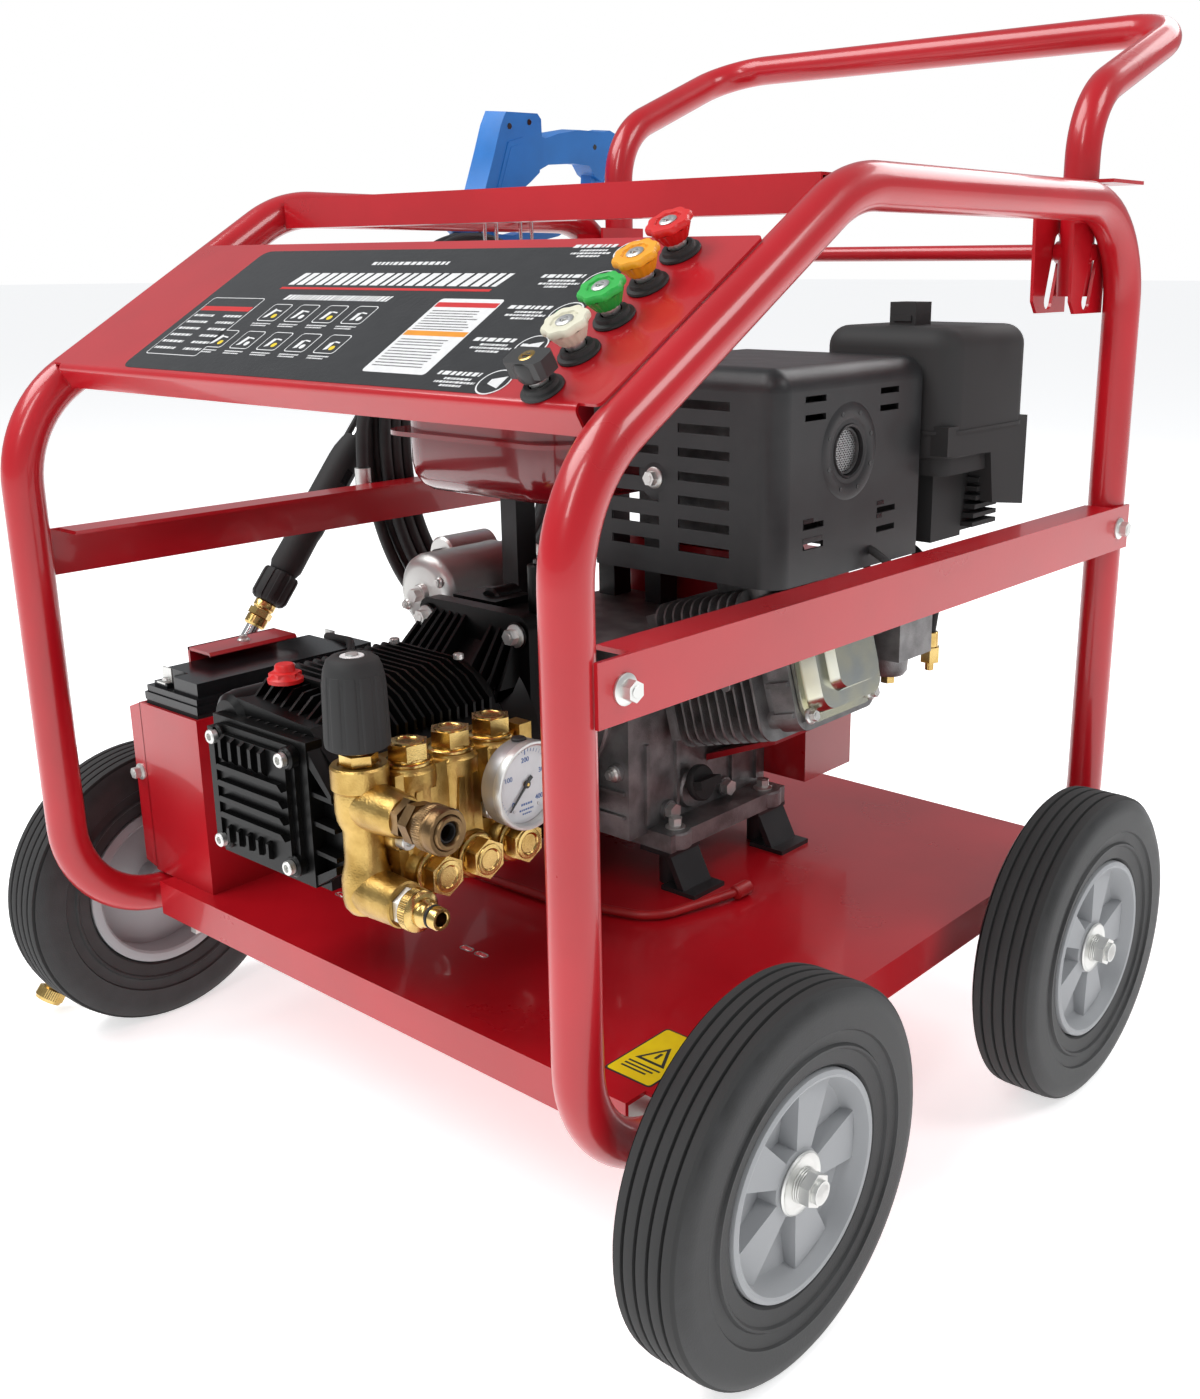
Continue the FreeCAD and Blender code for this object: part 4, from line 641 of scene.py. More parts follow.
def axle_ends():
    """Cupped washers, spacers, nuts and threaded ends of the two axles."""
    piece = Piece()
    for side, axis in ((1, "x"), (-1, "-x")):
        for end in (-1, 1):
            base = (side * WHEEL_IN, end * WHEEL_Y, AXLE_Z)
            piece.lathe([(8.6, 48.3), (21, 48.3), (21.6, 49.3), (20.4, 50.4), (18.6, 49.4), (16, 49.2),
                         (13, 50.6), (8.6, 50.6)], base, axis, ZINC, 48, closed=True)
            for k in range(3):
                piece.pipe(12.2 - k * 0.4, 8.2, base, axis, 50.6 + k * 1.5, 52 + k * 1.5, ZINC, 0.4, 36)
            piece.hexagon(21, base, axis, 55.2, 62.6, ZINC, 1.0)
            piece.disc(7.8, base, axis, 62.6, 66, ZINC, 1.0, 28)
            for k in range(3):
                piece.pipe(8.1, 7.4, base, axis, 62.9 + k, 63.4 + k, ZINC, 0.2, 28)
    piece.done("axle_ends", "frame", "zinc")


for side, sword in ((-1, "left"), (1, "right")):
    for end, eword in ((-1, "front"), (1, "rear")):
        wheel(side, end, "%s_%s" % (eword, sword))
axle_ends()


# ---------------------------------------------------------------- pump

CRANK_X, CRANK_Z = -30.0, 330.0
PLUNGERS = (-270.0, -231.0, -192.0)
UNLOADER = (80, -306, 0)
GAUGE = (118.2, -201, 341)


def pump_case():
    """Finned case: shoulder ribs at the front, cross ribs on top, ribbed guide pocket, front cover."""
    piece = Piece()
    side = [(-84, 276), (-78, 270), (22, 270), (28, 276), (28, 372), (18, 384), (-74, 390), (-84, 382)]
    piece.prism(side, "y", -300, -141, CAST_BLACK, 2.0)
    piece.prism([(-86, 268), (28, 268), (28, 378), (-86, 378)], "y", -312, -298, CAST_BLACK, 3.0)
    for k in range(8):
        x = -66 + k * 11.2
        piece.prism([(-309, 377), (-298, 379), (-276, 401 - k * 0.8), (-262, 402 - k * 0.8), (-262, 380),
                     (-298, 370)], "x", x - 1.3, x + 1.3, CAST_BLACK, 0.5)
    piece.box((-78, -262, 380), (26, -257, 403), CAST_BLACK, 1.2)
    for k in range(13):
        y = -248 + k * 8.4
        piece.prism([(-84, 380), (-84, 396), (-78, 403), (0, 402), (22, 392), (40, 376), (40, 366),
                     (20, 366)], "y", y - 1.2, y + 1.2, CAST_BLACK, 0.5)
    for k in range(11):
        y = -288 + k * 13
        piece.box((-88, y - 1.3, 284), (-82, y + 1.3, 384), CAST_BLACK, 0.5)
    piece.lathe([(0, -2), (15, -2), (19.5, 2), (21, 10), (21, 34), (0, 40)], (-80, -302, 372), "y",
                CAST_BLACK, 32)
    piece.box((-79, -322, 281), (-72, -300, 372), CAST_BLACK, 2)
    piece.prism([(28, 276), (52, 282), (52, 352), (28, 372)], "y", -300, -160, CAST_BLACK, 1.5)
    for y in PLUNGERS:
        piece.disc(17, (20, y, 346), "x", 0, 30, CAST_BLACK, 1.5, 36)
    piece.prism([(26, 374), (52, 344), (52, 338), (26, 362)], "y", -311, -300, CAST_BLACK, 0.8)
    piece.prism([(26, 268), (52, 284), (52, 290), (26, 276)], "y", -311, -300, CAST_BLACK, 0.8)
    for z in (294, 316, 338):
        piece.prism([(26, z), (52, z - 1), (52, z + 2.5), (26, z + 3.5)], "y", -310, -300, CAST_BLACK, 0.6)
    piece.box((-82, -300, 262), (30, -150, 272), CAST_BLACK, 2)
    piece.prism(rounded_box(-78, 18, 276, 374, 7), "y", -316, -311, CAST_BLACK, 1.0)
    piece.prism(rounded_box(-72, 12, 282, 368, 5), "y", -319.5, -315, CAST_BLACK, 0.8)
    for k in range(5):
        x = -62 + k * 12.4
        piece.prism([(-324, 365), (-324, 351), (-319, 346), (-319, 368)], "x", x - 1.8, x + 1.8, CAST_BLACK,
                    0.6)
        piece.prism([(-323.5, 284), (-323.5, 295), (-319, 297), (-319, 282)], "x", x - 1.5, x + 1.5,
                    CAST_BLACK, 0.6)
    for k in range(4):
        z = 303 + k * 12.6
        piece.prism([(-72, z), (12, z), (7, z + 4.6), (-67, z + 4.6)], "y", -324.2, -319, CAST_BLACK, 1.2)
    for x in (-73, 12):
        for z in (283, 365):
            piece.disc(8.5, (x, -311, z), "-y", 0, 9, CAST_BLACK, 1.5, 28)
            piece.screw((x, -320, z), "-y", 5.4, 5.2)
    for x, y in ((-70, -252), (8, -252), (-70, -150), (8, -150)):
        piece.screw((x, y, 402), "z", 4.2, 4.5)
    piece.lathe([(0, 0), (13, 0), (13.4, 3), (11.6, 4.6), (10.4, 7.4), (9, 8.2), (7.6, 8.6), (7.4, 12.4),
                 (6.4, 13.8), (0, 13.8)], (-42, -276, 402.5), "z", CAPS["red"], 36)
    piece.hexagon(21, (-42, -276, 402.5), "z", 2.6, 7.6, CAPS["red"], 1.2)
    piece.done("pump_case", "frame", "black_paint", "pump_crankcase")


def bell():
    """Collar, ribbed cone and bolted flange between pump and engine."""
    piece = Piece()
    piece.lathe([(38, -140), (61, -140), (63, -138), (63, -124), (60, -121), (38, -121)],
                (CRANK_X, 0, CRANK_Z), "y", CAST_BLACK, 64, closed=True)
    piece.lathe([(38, -124), (52, -124), (56, -118), (74, -99), (38, -99)], (CRANK_X, 0, CRANK_Z), "y",
                CAST_BLACK, 48, closed=True)
    piece.prism(rounded_box(-96, 36, 234, 430, 12), "y", -100, -86, CAST_BLACK, 2.5)
    piece.prism(rounded_box(-88, 28, 240, 424, 10), "y", -86, -16, CAST_BLACK, 2.5)
    for k in range(6):
        x = -84 + k * 9
        piece.prism([(-136, 392 - k * 1.5), (-98, 424), (-98, 380), (-136, 380)], "x", x - 1.6, x + 1.6,
                    CAST_BLACK, 0.6)
    for k in range(4):
        x = -8 + k * 10
        piece.prism([(-128, 384 - k * 8), (-98, 420), (-98, 372), (-124, 372)], "x", x - 1.6, x + 1.6,
                    CAST_BLACK, 0.6)
    for z in (250, 290, 362):
        piece.box((26, -98, z), (34, -24, z + 4), CAST_BLACK, 0.8)
    piece.disc(12, (-50, -62, 424), "y", 0, 30, CAST_BLACK, 2, 32)
    piece.box((-78, -78, 422), (-26, -36, 430), CAST_BLACK, 2)
    piece.disc(9, (8, -60, 424), "z", 0, 40, CAST_BLACK, 1.2, 28)
    piece.disc(4, (8, -60, 424), "z", 40, 44, GLOSS_BLACK, 0.6, 20)
    for x, z in ((-84, 414), (24, 414), (-84, 250), (24, 250)):
        piece.disc(11, (x, -101, z), "-y", 0, 2, CAST_BLACK, 0.6, 28)
        piece.screw((x, -103, z), "-y", 6.6, 9, socket=False)
    piece.done("bell", "frame", "black_paint", "bell_housing")


def pump_head():
    """Cast brass head with three valve towers, the unloader column and its two branches."""
    piece = Piece()
    piece.box((52, -292, 270), (100, -170, 364), BRASS, 6, 4)
    for y in PLUNGERS:
        piece.lathe([(0, 300), (18.4, 300), (18.4, 350), (19, 353), (19, 362), (17.6, 364), (17.2, 366),
                     (0, 366)], (88, y, 0), "z", BRASS, 48)
        piece.lathe([(0, 60), (19, 60), (19, 104), (18, 107), (17.2, 109), (0, 109)], (0, y, 290), "x", BRASS,
                    48)
        piece.prism([(y - 12, 300), (y + 12, 300), (y + 9, 350), (y - 9, 350)], "x", 96, 106, BRASS, 3, 3)
    for k in range(4):
        y = -231 + 39 * (k - 1.5)
        piece.lathe([(0, 60), (9.4, 60), (9.4, 98), (8.4, 100), (0, 100)], (0, y, 318), "x", BRASS, 28)
    x, y, _ = UNLOADER
    piece.lathe([(0, 262), (8, 262.6), (13, 265), (16.4, 270), (17.4, 276), (17.4, 290), (15.4, 298),
                 (14.4, 304),
                 (14.4, 326), (17.6, 333), (18.6, 340), (18.6, 350), (18, 355), (20.2, 357), (20.2, 372),
                 (19, 373.6), (15, 373.6), (14, 372), (0, 372)], (x, y, 0), "z", BRASS, 56)
    piece.lathe([(0, 0), (17, 0), (17, 26), (16, 36), (15.2, 44), (14, 46), (0, 46)], (x, y, 345), "x", BRASS,
                48)
    piece.lathe([(0, -8), (10, -8), (15, -4), (17, 2), (17.4, 14), (16.6, 34), (16.6, 41), (15.4, 42),
                 (0, 42)], (x, y, 280), "x", BRASS, 48)
    for z in (286, 352):
        piece.box((64, -304, z - 12), (90, -284, z + 10), BRASS, 5, 3)
    piece.box((84, -321, 356), (92, -297, 366), BRASS, 2.5)
    piece.hexagon(23, (x, y, 0), "z", 373.6, 381, BRIGHT_BRASS, 0.8)
    piece.disc(9, (x, y, 0), "z", 381, 386, BRIGHT_BRASS, 0.4, 32)
    piece.disc(8, (96, -201, 341), "x", 0, 22, BRIGHT_BRASS, 0.6, 32)
    piece.hexagon(18, (108, -201, 341), "x", 0, 8, BRIGHT_BRASS, 0.6)
    piece.box((88, -178, 352), (104, -166, 374), BRASS, 2)
    piece.done("pump_brass", "frame", "brass", "pump_head")

    caps = Piece()
    dimple = [(8.6, 0), (8.4, -0.4), (6, -1.8), (3, -2.6), (0, -2.9)]
    for y in PLUNGERS:
        for at, axis, low in (((88, y, 366), "z", 6), ((109, y, 290), "x", 0)):
            tall = 12.5 if axis == "z" else 12
            caps.lathe([(0, 0), (16.4, 0), (17, 0.8), (17, 2.4), (16, 3.2), (14, 3.4), (14, 5), (0, 5)], at,
                       axis, BRIGHT_BRASS, 48)
            caps.hexagon(26.5, at, axis, 4.6, 4.6 + tall - 1.2, BRIGHT_BRASS, 1.2, turned=low * 0.05)
            rim = 4.6 + tall
            caps.lathe([(11.8, rim - 1.4), (11.4, rim - 0.2), (10.2, rim), (9, rim - 0.1)]
                       + [(r, rim + h) for r, h in dimple], at, axis, BRIGHT_BRASS, 48)
    for k in range(4):
        caps.screw((100, -231 + 39 * (k - 1.5), 318), "x", 6.6, 9)
    caps.done("valve_plugs", "frame", "brass", "valve_caps")


def knob():
    piece = Piece()
    flute = lambda a: 1 - 0.055 * max(0.0, math.cos(12 * a)) ** 3
    piece.lathe([(0, 385.8), (20.4, 385.8), (22, 387), (22.2, 390), (20.8, 434)], UNLOADER, "z",
                BLACK_PLASTIC, 96)
    piece.lathe([(22.3, 388), (22.6, 391), (21.6, 430), (20.6, 438), (18.4, 440.5)], UNLOADER, "z",
                BLACK_PLASTIC, 192, lobes=flute)
    piece.lathe([(20.6, 434), (20, 441), (17.6, 447), (14, 449.6), (10, 450), (9, 449), (0, 449)],
                UNLOADER, "z", BLACK_PLASTIC, 64)
    piece.disc(8.2, UNLOADER, "z", 448.6, 449.8, WHITE, 0.3, 32)
    piece.lathe([(0, 449.8), (4.6, 449.8), (4.2, 451.2), (0, 451.6)], UNLOADER, "z", ZINC, 28)
    piece.done("unloader_grip", "unloader_knob", "knob_black", "unloader_knob")


def gauge():
    at = GAUGE
    piece = Piece()
    piece.lathe([(0, 0), (27, 0), (31, 1.5), (32.6, 4), (32.6, 15)], at, "x", STEEL, 72)
    piece.lathe([(31, 15), (33, 15.4), (33.2, 17), (33.2, 20.4), (32.6, 21.8), (31, 22), (29.6, 21.2),
                 (29.2, 19), (29.2, 15)], at, "x", ZINC, 72)
    piece.disc(29.4, at, "x", 12, 14.6, DIAL, 0.1, 72)
    piece.lathe([(0, 14.6), (2.4, 14.6), (2.4, 15.1), (0, 15.1)], at, "x", BRIGHT_BRASS, 24)
    for k in range(41):
        a = math.radians(225 - k * 6.75)
        long = k % 10 == 0
        r0, r1, w = (22.2 if long else 24.2), 26.6, (0.42 if long else 0.2)
        c, n = (-math.cos(a), math.sin(a)), (math.sin(a), math.cos(a))
        # the scale runs clockwise for someone who faces the dial
        corners = [(-201 - c[0] * r + n[0] * w * q, 341 + c[1] * r + n[1] * w * q)
                   for r, q in ((r0, -1), (r0, 1), (r1, 1), (r1, -1))]
        piece.prism(corners, "x", at[0] + 14.5, at[0] + 14.75, INK_BLUE)
    for y, z in ((-214, 321), (-190, 321)):
        piece.disc(1.3, (at[0], y + 1, z + 2), "x", 14.6, 15.2, STEEL, 0.2, 16)
    rnd = random.Random(5)
    for y0, y1, z, h in ((-206, -196, 325, 1.6), (-208, -194, 321, 1.3), (-205, -197, 318, 1.2)):
        y = y0
        while y < y1:
            w = rnd.uniform(0.8, 1.8)
            piece.prism([(y, z), (y + w, z), (y + w, z + h), (y, z + h)], "x", at[0] + 14.5, at[0] + 14.75,
                        INK_BLUE)
            y += w + 0.7
    piece.disc(5.5, (at[0] + 9, -201, 372), "z", 0, 3.4, RUBBER, 1.0, 28)
    piece.done("gauge_case", "frame", "zinc", "pressure_gauge")
    for k, number in enumerate(("0", "100", "200", "300", "400")):
        a = math.radians(225 - k * 67.5)
        text = bpy.data.curves.new("dial_" + number, "FONT")
        text.body, text.size, text.extrude = number, 0.0052, 0.0001
        text.align_x, text.align_y = "CENTER", "CENTER"
        text.materials.append(INK_BLUE)
        mark = bpy.data.objects.new("dial_" + number, text)
        bpy.context.collection.objects.link(mark)
        turn = Matrix(((0, 0, 1), (1, 0, 0), (0, 1, 0))).to_4x4()
        spot = ROW @ Vector((at[0] + 14.8, at[1] + 18.2 * math.cos(a), at[2] + 18.2 * math.sin(a)))
        mark.matrix_world = Matrix.Translation(spot) @ turn
        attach(mark, "frame")
    hand = Piece()
    hand.at = Matrix.Translation((at[0] + 15.6, -201, 341)) @ Matrix.Rotation(math.radians(135), 4, "X")
    hand.prism([(-0.5, 24), (0.5, 24), (1.0, 0), (1.6, -7), (-1.6, -7), (-1.0, 0)], "x", 0, 0.7,
               GLOSS_BLACK)
    hand.disc(3, ORIGIN, "x", -0.4, 1.6, GLOSS_BLACK, 0.4, 28)
    hand.disc(1.3, ORIGIN, "x", 1.6, 2.2, BRIGHT_BRASS, 0.3, 20)
    hand.done("gauge_hand", "gauge_needle", "black_plastic", "gauge_needle")


def knurl(count, depth):
    return lambda a: 1 + depth * (1 if int(a / (2 * math.pi) * count * 2 + 0.5) % 2 else 0)


def couplings():
    x, y, z = 125.1, -306, 345
    piece = Piece()
    piece.hexagon(25, (x, y, z), "x", 0.4, 8, BRONZE, 1.0)
    piece.pipe(11, 6, (x, y, z), "x", 8, 11, BRONZE, 0.3, 36)
    piece.hexagon(26, (x, y, z), "x", 10.5, 18.9, BRONZE, 1.2, turned=0.35)
    piece.lathe([(6.1, 18), (12, 18), (12, 44.4), (11, 46), (8.6, 46), (7.4, 44), (7.4, 42.6), (6.1, 42)],
                (x, y, z), "x", BRONZE, 48, closed=True)
    # black disc near the bottom of the socket's bore: painted shade inside the bore
    piece.disc(6.3, (x, y, z), "x", 22, 26, GLOSS_BLACK, 0.2, 32)
    piece.pipe(7.6, 5.8, (x, y, z), "x", 39, 43.4, RUBBER, 0.9, 32)
    piece.done("hose_socket", "frame", "brass", "outlet_coupler")
    ring = Piece()
    ring.lathe([(12.1, 24.4), (14.6, 24.4), (15.6, 25.4)], (x, y, z), "x", BRONZE, 60)
    ring.lathe([(15.6, 25.4), (16.1, 26), (16.1, 33), (15.6, 33.6)], (x, y, z), "x", BRONZE, 240,
               lobes=knurl(60, 0.02))
    ring.lathe([(15.6, 33.6), (15.1, 34.4), (15.1, 35.6), (15.7, 36.2), (16.3, 37), (16.3, 42.6), (15.4, 44),
                (12.6, 44), (12.1, 43.2), (12.1, 24.4)], (x, y, z), "x", BRONZE, 60)
    ring.done("release_ring", "coupler_sleeve", "brass", "coupler_sleeve")
    inlet = Piece()
    at = (122.1, y, 280)
    inlet.hexagon(24, at, "x", 0.2, 7, ZINC, 1.0)
    inlet.lathe([(10, 7), (14.6, 7), (15, 8)], at, "x", BRIGHT_BRASS, 60)
    inlet.lathe([(15, 8), (15, 14.6)], at, "x", BRIGHT_BRASS, 240, lobes=knurl(60, 0.02))
    inlet.lathe([(15, 14.6), (14, 16), (10.4, 17.6), (10.4, 20.4), (9.2, 22), (9, 24), (8.2, 25.4), (7.2, 26),
                 (7.2, 29), (8, 29.6), (8, 35), (7.4, 36), (5.6, 36), (5, 35.4), (5, 18), (0, 18)], at, "x",
                BRIGHT_BRASS, 60)
    inlet.lathe([(7, 26.2), (8.3, 26.8), (8.3, 28.4), (7, 29)], at, "x", RUBBER, 40)
    # black disc at the bottom of the inlet's bore: painted shade of the passage beyond
    inlet.lathe([(0, 18.4), (4.9, 18.4)], at, "x", GLOSS_BLACK, 32)
    inlet.done("water_inlet", "frame", "brass", "inlet_spigot")


pump_case()
bell()
pump_head()
knob()
gauge()
couplings()


# ---------------------------------------------------------------- battery

def battery():
    piece = Piece()
    piece.box((-303, -243, 172.4), (-223, -47, 332), BLACK_PLASTIC, 3, 3)
    piece.box((-304, -243.6, 332), (-222, -46.4, 339), GLOSS_BLACK, 1.5)
    piece.box((-302, -242, 339), (-224, -48, 345), GLOSS_BLACK, 1.0)
    piece.box((-300, -222, 344), (-262, -70, 357), GLOSS_BLACK, 1.6)
    piece.box((-264, -238, 344), (-228, -52, 357.6), GLOSS_BLACK, 1.6)
    for y in (-232, -58):
        piece.box((-296, y - 6, 343), (-276, y + 6, 349), GLOSS_BLACK, 0.8)
        piece.box((-290, y - 0.7, 348), (-276, y + 0.7, 362), ZINC, 0.2)
        piece.box((-290, y - 7, 348.4), (-277, y + 5, 349.8), ZINC, 0.3)
        piece.disc(3.4, (-283, y - 2, 349.8), "z", 0, 3, ZINC, 0.5, 20)
    piece.done("battery_case", "frame", "battery_black", "battery")
    box = Piece()
    wall = [(-308, -248), (-308, -42), (-305, -42), (-305, -245), (-221, -245), (-221, -42), (-218, -42),
            (-218, -248)]
    box.prism(wall, "z", 169, 329, RED)
    box.box((-306, -45, 169), (-220, -42, 329), RED)
    box.box((-306, -246, 169.1), (-220, -44, 171.4), RED)
    box.prism([(-325, 175), (-307, 171), (-307, 329), (-325, 322)], "y", -248, -245, RED, 0.6)
    box.box((-307.4, -196, 352), (-304.4, -104, 369), RED, 0.7)
    box.prism([(-307, 366.4), (-273, 366.4), (-272, 365), (-271, 366), (-273, 369), (-307, 369)], "y", -196,
              -104, RED, 0.5)
    box.box((-307.4, -170, 329), (-305.2, -130, 353), RED, 0.4)
    box.screw((-317, -248, 262), "-y", 5.2, 8, socket=False)
    box.screw((-288, -150, 369), "z", 4, 5, socket=False)
    box.done("battery_tray", "frame", "box_red", "battery_box")


def leads():
    """Two sleeved cables along the deck, with boots and eyelets."""
    z = 174.0
    piece = Piece()
    piece.tube([(-212, -90, 300), (-208, -90, 250), (-205, -88, z + 20), (-170, -70, z), (-60, -76, z),
                (30, -72, z),
                (118, -44, z), (142, 40, z + 2)], [60, 25, 25, 60, 60, 40, 40], 4, RED_SLEEVE, 18)
    piece.tube([(-212, -62, 300), (-208, -62, 250), (-205, -58, z + 20), (-190, -20, z), (-190, 60, z),
                (-156, 98, z + 2)], [60, 25, 25, 30, 25], 4, RUBBER, 18)
    piece.tube([(-214, -88, 296), (-216, -88, 345), (-235, -70, 361), (-283, -61, 356)], [10, 12, 14], 4,
               RUBBER, 16)
    piece.disc(6.5, (142, 34, z + 2), "y", 0, 20, RED_SLEEVE, 1.5, 24)
    piece.disc(5.5, (-156, 98, z + 2), "y", -8, 8, RED_SLEEVE, 1.5, 24)
    piece.done("leads", "frame", "cable", "battery_cables")


# ---------------------------------------------------------------- engine

LEAN = Matrix.Translation((-30, 95, 330)) @ Matrix.Rotation(math.radians(-15), 4, "Y")


def engine_block():
    piece = Piece()
    piece.box((-130, -10, 217), (60, 185, 385), ALLOY, 16, 4)
    piece.box((-148, 13, 205), (88, 181, 221), ALLOY, 3, 3)
    for y in (30, 164):
        for x in (-141, 76):
            piece.disc(15, (x - 4 if x < 0 else x + 2, y, 205), "z", 0, 16.2, ALLOY, 1.5, 32)
    piece.lathe([(0, 0), (70, 0), (72, 2), (72, 8), (0, 8)], (-30, -16, 330), "y", ALLOY, 64)
    for k in range(8):
        a = math.radians(45 * k + 22)
        piece.disc(8, (-30 + 84 * math.cos(a), -16, 305 + 70 * math.sin(a)), "y", 0, 12, ALLOY, 1.0, 24)
        piece.screw((-30 + 84 * math.cos(a), -16, 305 + 70 * math.sin(a)), "-y", 4.6, 6, socket=False)
    for z in (236, 258, 352, 372):
        piece.box((-126, -13.5, z), (56, -9, z + 3), ALLOY, 0.6)
    for y in (10, 50, 130, 168):
        piece.box((58, y, 226), (63.5, y + 4, 300), ALLOY, 0.8)
    for y in (14, 60, 106, 152):
        piece.box((-134, y, 226), (-129, y + 5, 372), ALLOY, 0.8)
    piece.lathe([(0, 0), (17, 0), (18, 3), (18, 20), (16, 23), (0, 23)], (42, 72, 243), "x", ALLOY, 36)
    for y, z in ((40, 232), (120, 232)):
        piece.lathe([(0, 0), (9, 0), (9, 4), (0, 4)], (60, y, z), "x", ALLOY, 24)
        piece.hexagon(13, (60, y, z), "x", 4, 11, ZINC, 0.6)
    piece.at = LEAN
    piece.box((86, -56, -56), (100, 56, 56), ALLOY, 2)
    piece.at = Matrix.Identity(4)
    piece.done("engine_block", "frame", "aluminium", "crankcase")
    cap = Piece()
    cap.at = Matrix.Translation((50, 72, 245.7)) @ Matrix.Rotation(math.radians(-14), 4, "Y")
    cap.lathe([(0, 20), (15.5, 20), (16.5, 21.5), (16.5, 26), (15, 28), (0, 28)], ORIGIN, "x",
              BLACK_PLASTIC, 40)
    cap.box((26, -14, -4), (37, 14, 4), BLACK_PLASTIC, 2, 3)
    cap.done("filler_cap", "oil_cap", "black_plastic", "oil_cap")


def barrel():
    """Finned cylinder and head on the leaning bore, in light alloy."""
    piece = Piece()
    piece.at = LEAN
    piece.box((98, -50, -50), (228, 50, 50), ALLOY, 6)
    for k in range(10):
        x = 104 + k * 10
        piece.prism(rounded_box(-65, 65, -64, 64, 16, 4), "x", x - 1.1, x + 1.1, ALLOY, 0.5)
    piece.prism(rounded_box(-57, 57, -58, 58, 14), "x", 206, 227.5, ALLOY, 1.5)
    for k in range(4):
        piece.box((204, -56 - 4, -44 + k * 26), (226, 60, -40 + k * 26), ALLOY, 0.8)
    for y in (-47, 47):
        for z in (-46, 46):
            piece.disc(8, (98, y, z), "x", 0, 118, ALLOY, 1, 20)
    for x, z in ((126, 14), (170, -10)):
        piece.disc(5.5, (x, -66, z), "-y", -2, 4, ALLOY, 0.6, 20)
    piece.prism(rounded_box(-30, 30, 50, 78, 6), "x", 150, 212, DARK_ALLOY, 3, 3)
    piece.lathe([(0, 0), (11, 0), (11, 4), (7, 5), (7, 14), (0, 14)], (214, -34, 34), "x", WHITE, 24)
    piece.tube([(226, -34, 34), (246, -34, 40), (246, -34, 90), (200, 0, 120)], [12, 20, 20], 4.5, RUBBER, 14)
    piece.disc(9, (224, -34, 34), "x", 0, 22, RUBBER, 3, 24)
    piece.at = Matrix.Identity(4)
    piece.done("barrel", "frame", "aluminium", "cylinder")

    cover = Piece()
    cover.at = LEAN
    flange = rounded_box(-52, 52, -53, 53, 18, 6)
    cover.prism(flange, "x", 228.2, 232, YELLOW_ZINC, 0.8)
    cover.prism(rounded_box(-46, 46, -47, 47, 16, 6), "x", 231, 247, YELLOW_ZINC, 4.5, 4, 0.93)
    cover.prism(rounded_box(-30, 34, -32, 32, 12, 6), "x", 246, 256, YELLOW_ZINC, 3, 4, 0.9)
    for y, z in ((-45, -46), (45, -46), (-45, 46), (45, 46)):
        cover.screw((232, y, z), "x", 4.6, 7, socket=False)
    cover.done("rocker_cover", "frame", "zinc", "valve_cover")


def exhaust():
    """Drum behind the pressed shield, its meshed outlet, ring and bolts."""
    drum = Piece()
    drum.box((44, 26, 482), (178, 176, 600), DARK_ALLOY, 22, 5)
    drum.box((40, 96, 478), (182, 101, 604), DARK_ALLOY, 2)
    drum.pipe(19, 16.8, (176, 98, 556), "x", 0, 26, DARK_ALLOY, 0.6, 40)
    drum.tube([(150, 60, 490), (150, 60, 440), (160, 80, 410)], [30], 15, DARK_ALLOY, 24)
    drum.done("silencer", "frame", "steel", "muffler")

    mesh = Piece()
    at = (204, 98, 556)
    mesh.lathe([(17, -4), (19.4, -4), (19.6, 1.4), (21.4, 2.2), (21.8, 1), (21, -0.5), (23, -1), (23, -4)],
               at, "x", BLACK_COAT, 56, closed=True)
    # black disc closing the pipe behind the mesh: painted shade of the outlet's dark inside
    mesh.disc(17.4, (196, 98, 556), "x", 0, 1.0, GLOSS_BLACK, 0.1, 40)
    for k in range(-6, 7):
        half = math.sqrt(max(0.0, 17.2 ** 2 - (k * 2.6) ** 2))
        for lean in (-1, 1):
            mesh.at = Matrix.Translation((199, 98, 556)) @ Matrix.Rotation(math.radians(45 * lean), 4, "X")
            mesh.box((-0.4, -half, k * 2.6 - 0.45), (0.4, half, k * 2.6 + 0.45), STEEL)
    mesh.at = Matrix.Identity(4)
    mesh.lathe([(25, 0.4), (27, 1.8), (37, 2.2), (40, 0.4)], at, "x", BLACK_COAT, 56)
    for k in range(8):
        a = math.radians(45 * k + 22)
        mesh.disc(1.9, (at[0] + 1.2, at[1] + 32 * math.cos(a), at[2] + 32 * math.sin(a)), "x", 0, 1.2,
                  GLOSS_BLACK, 0.1, 16)
    # black bars on the shield's front over four of its slots: painted shade of the dark inside
    for y0, y1, z in ((36, 50, 505), (36, 62, 490), (142, 152, 507), (142, 150, 496)):
        mesh.box((204.6, y0, z), (205.3, y1, z + 3.4), GLOSS_BLACK, 0.3)
    mesh.lathe([(0, 1.6), (9, 1.6), (18, -0.6)], (84, 0.8, 535), "-y", BLACK_COAT, 40)
    mesh.screw((84, -0.6, 535), "-y", 6, 8, socket=False)
    mesh.lathe([(11, 0.2), (13.6, 1.4), (22, 0.2)], (84, 60, 625), "z", BLACK_COAT, 40)
    mesh.disc(3, (84, 60, 624.6), "z", 0, 1.2, GLOSS_BLACK, 0.2, 20)
    mesh.done("outlet_mesh", "frame", "black_paint")


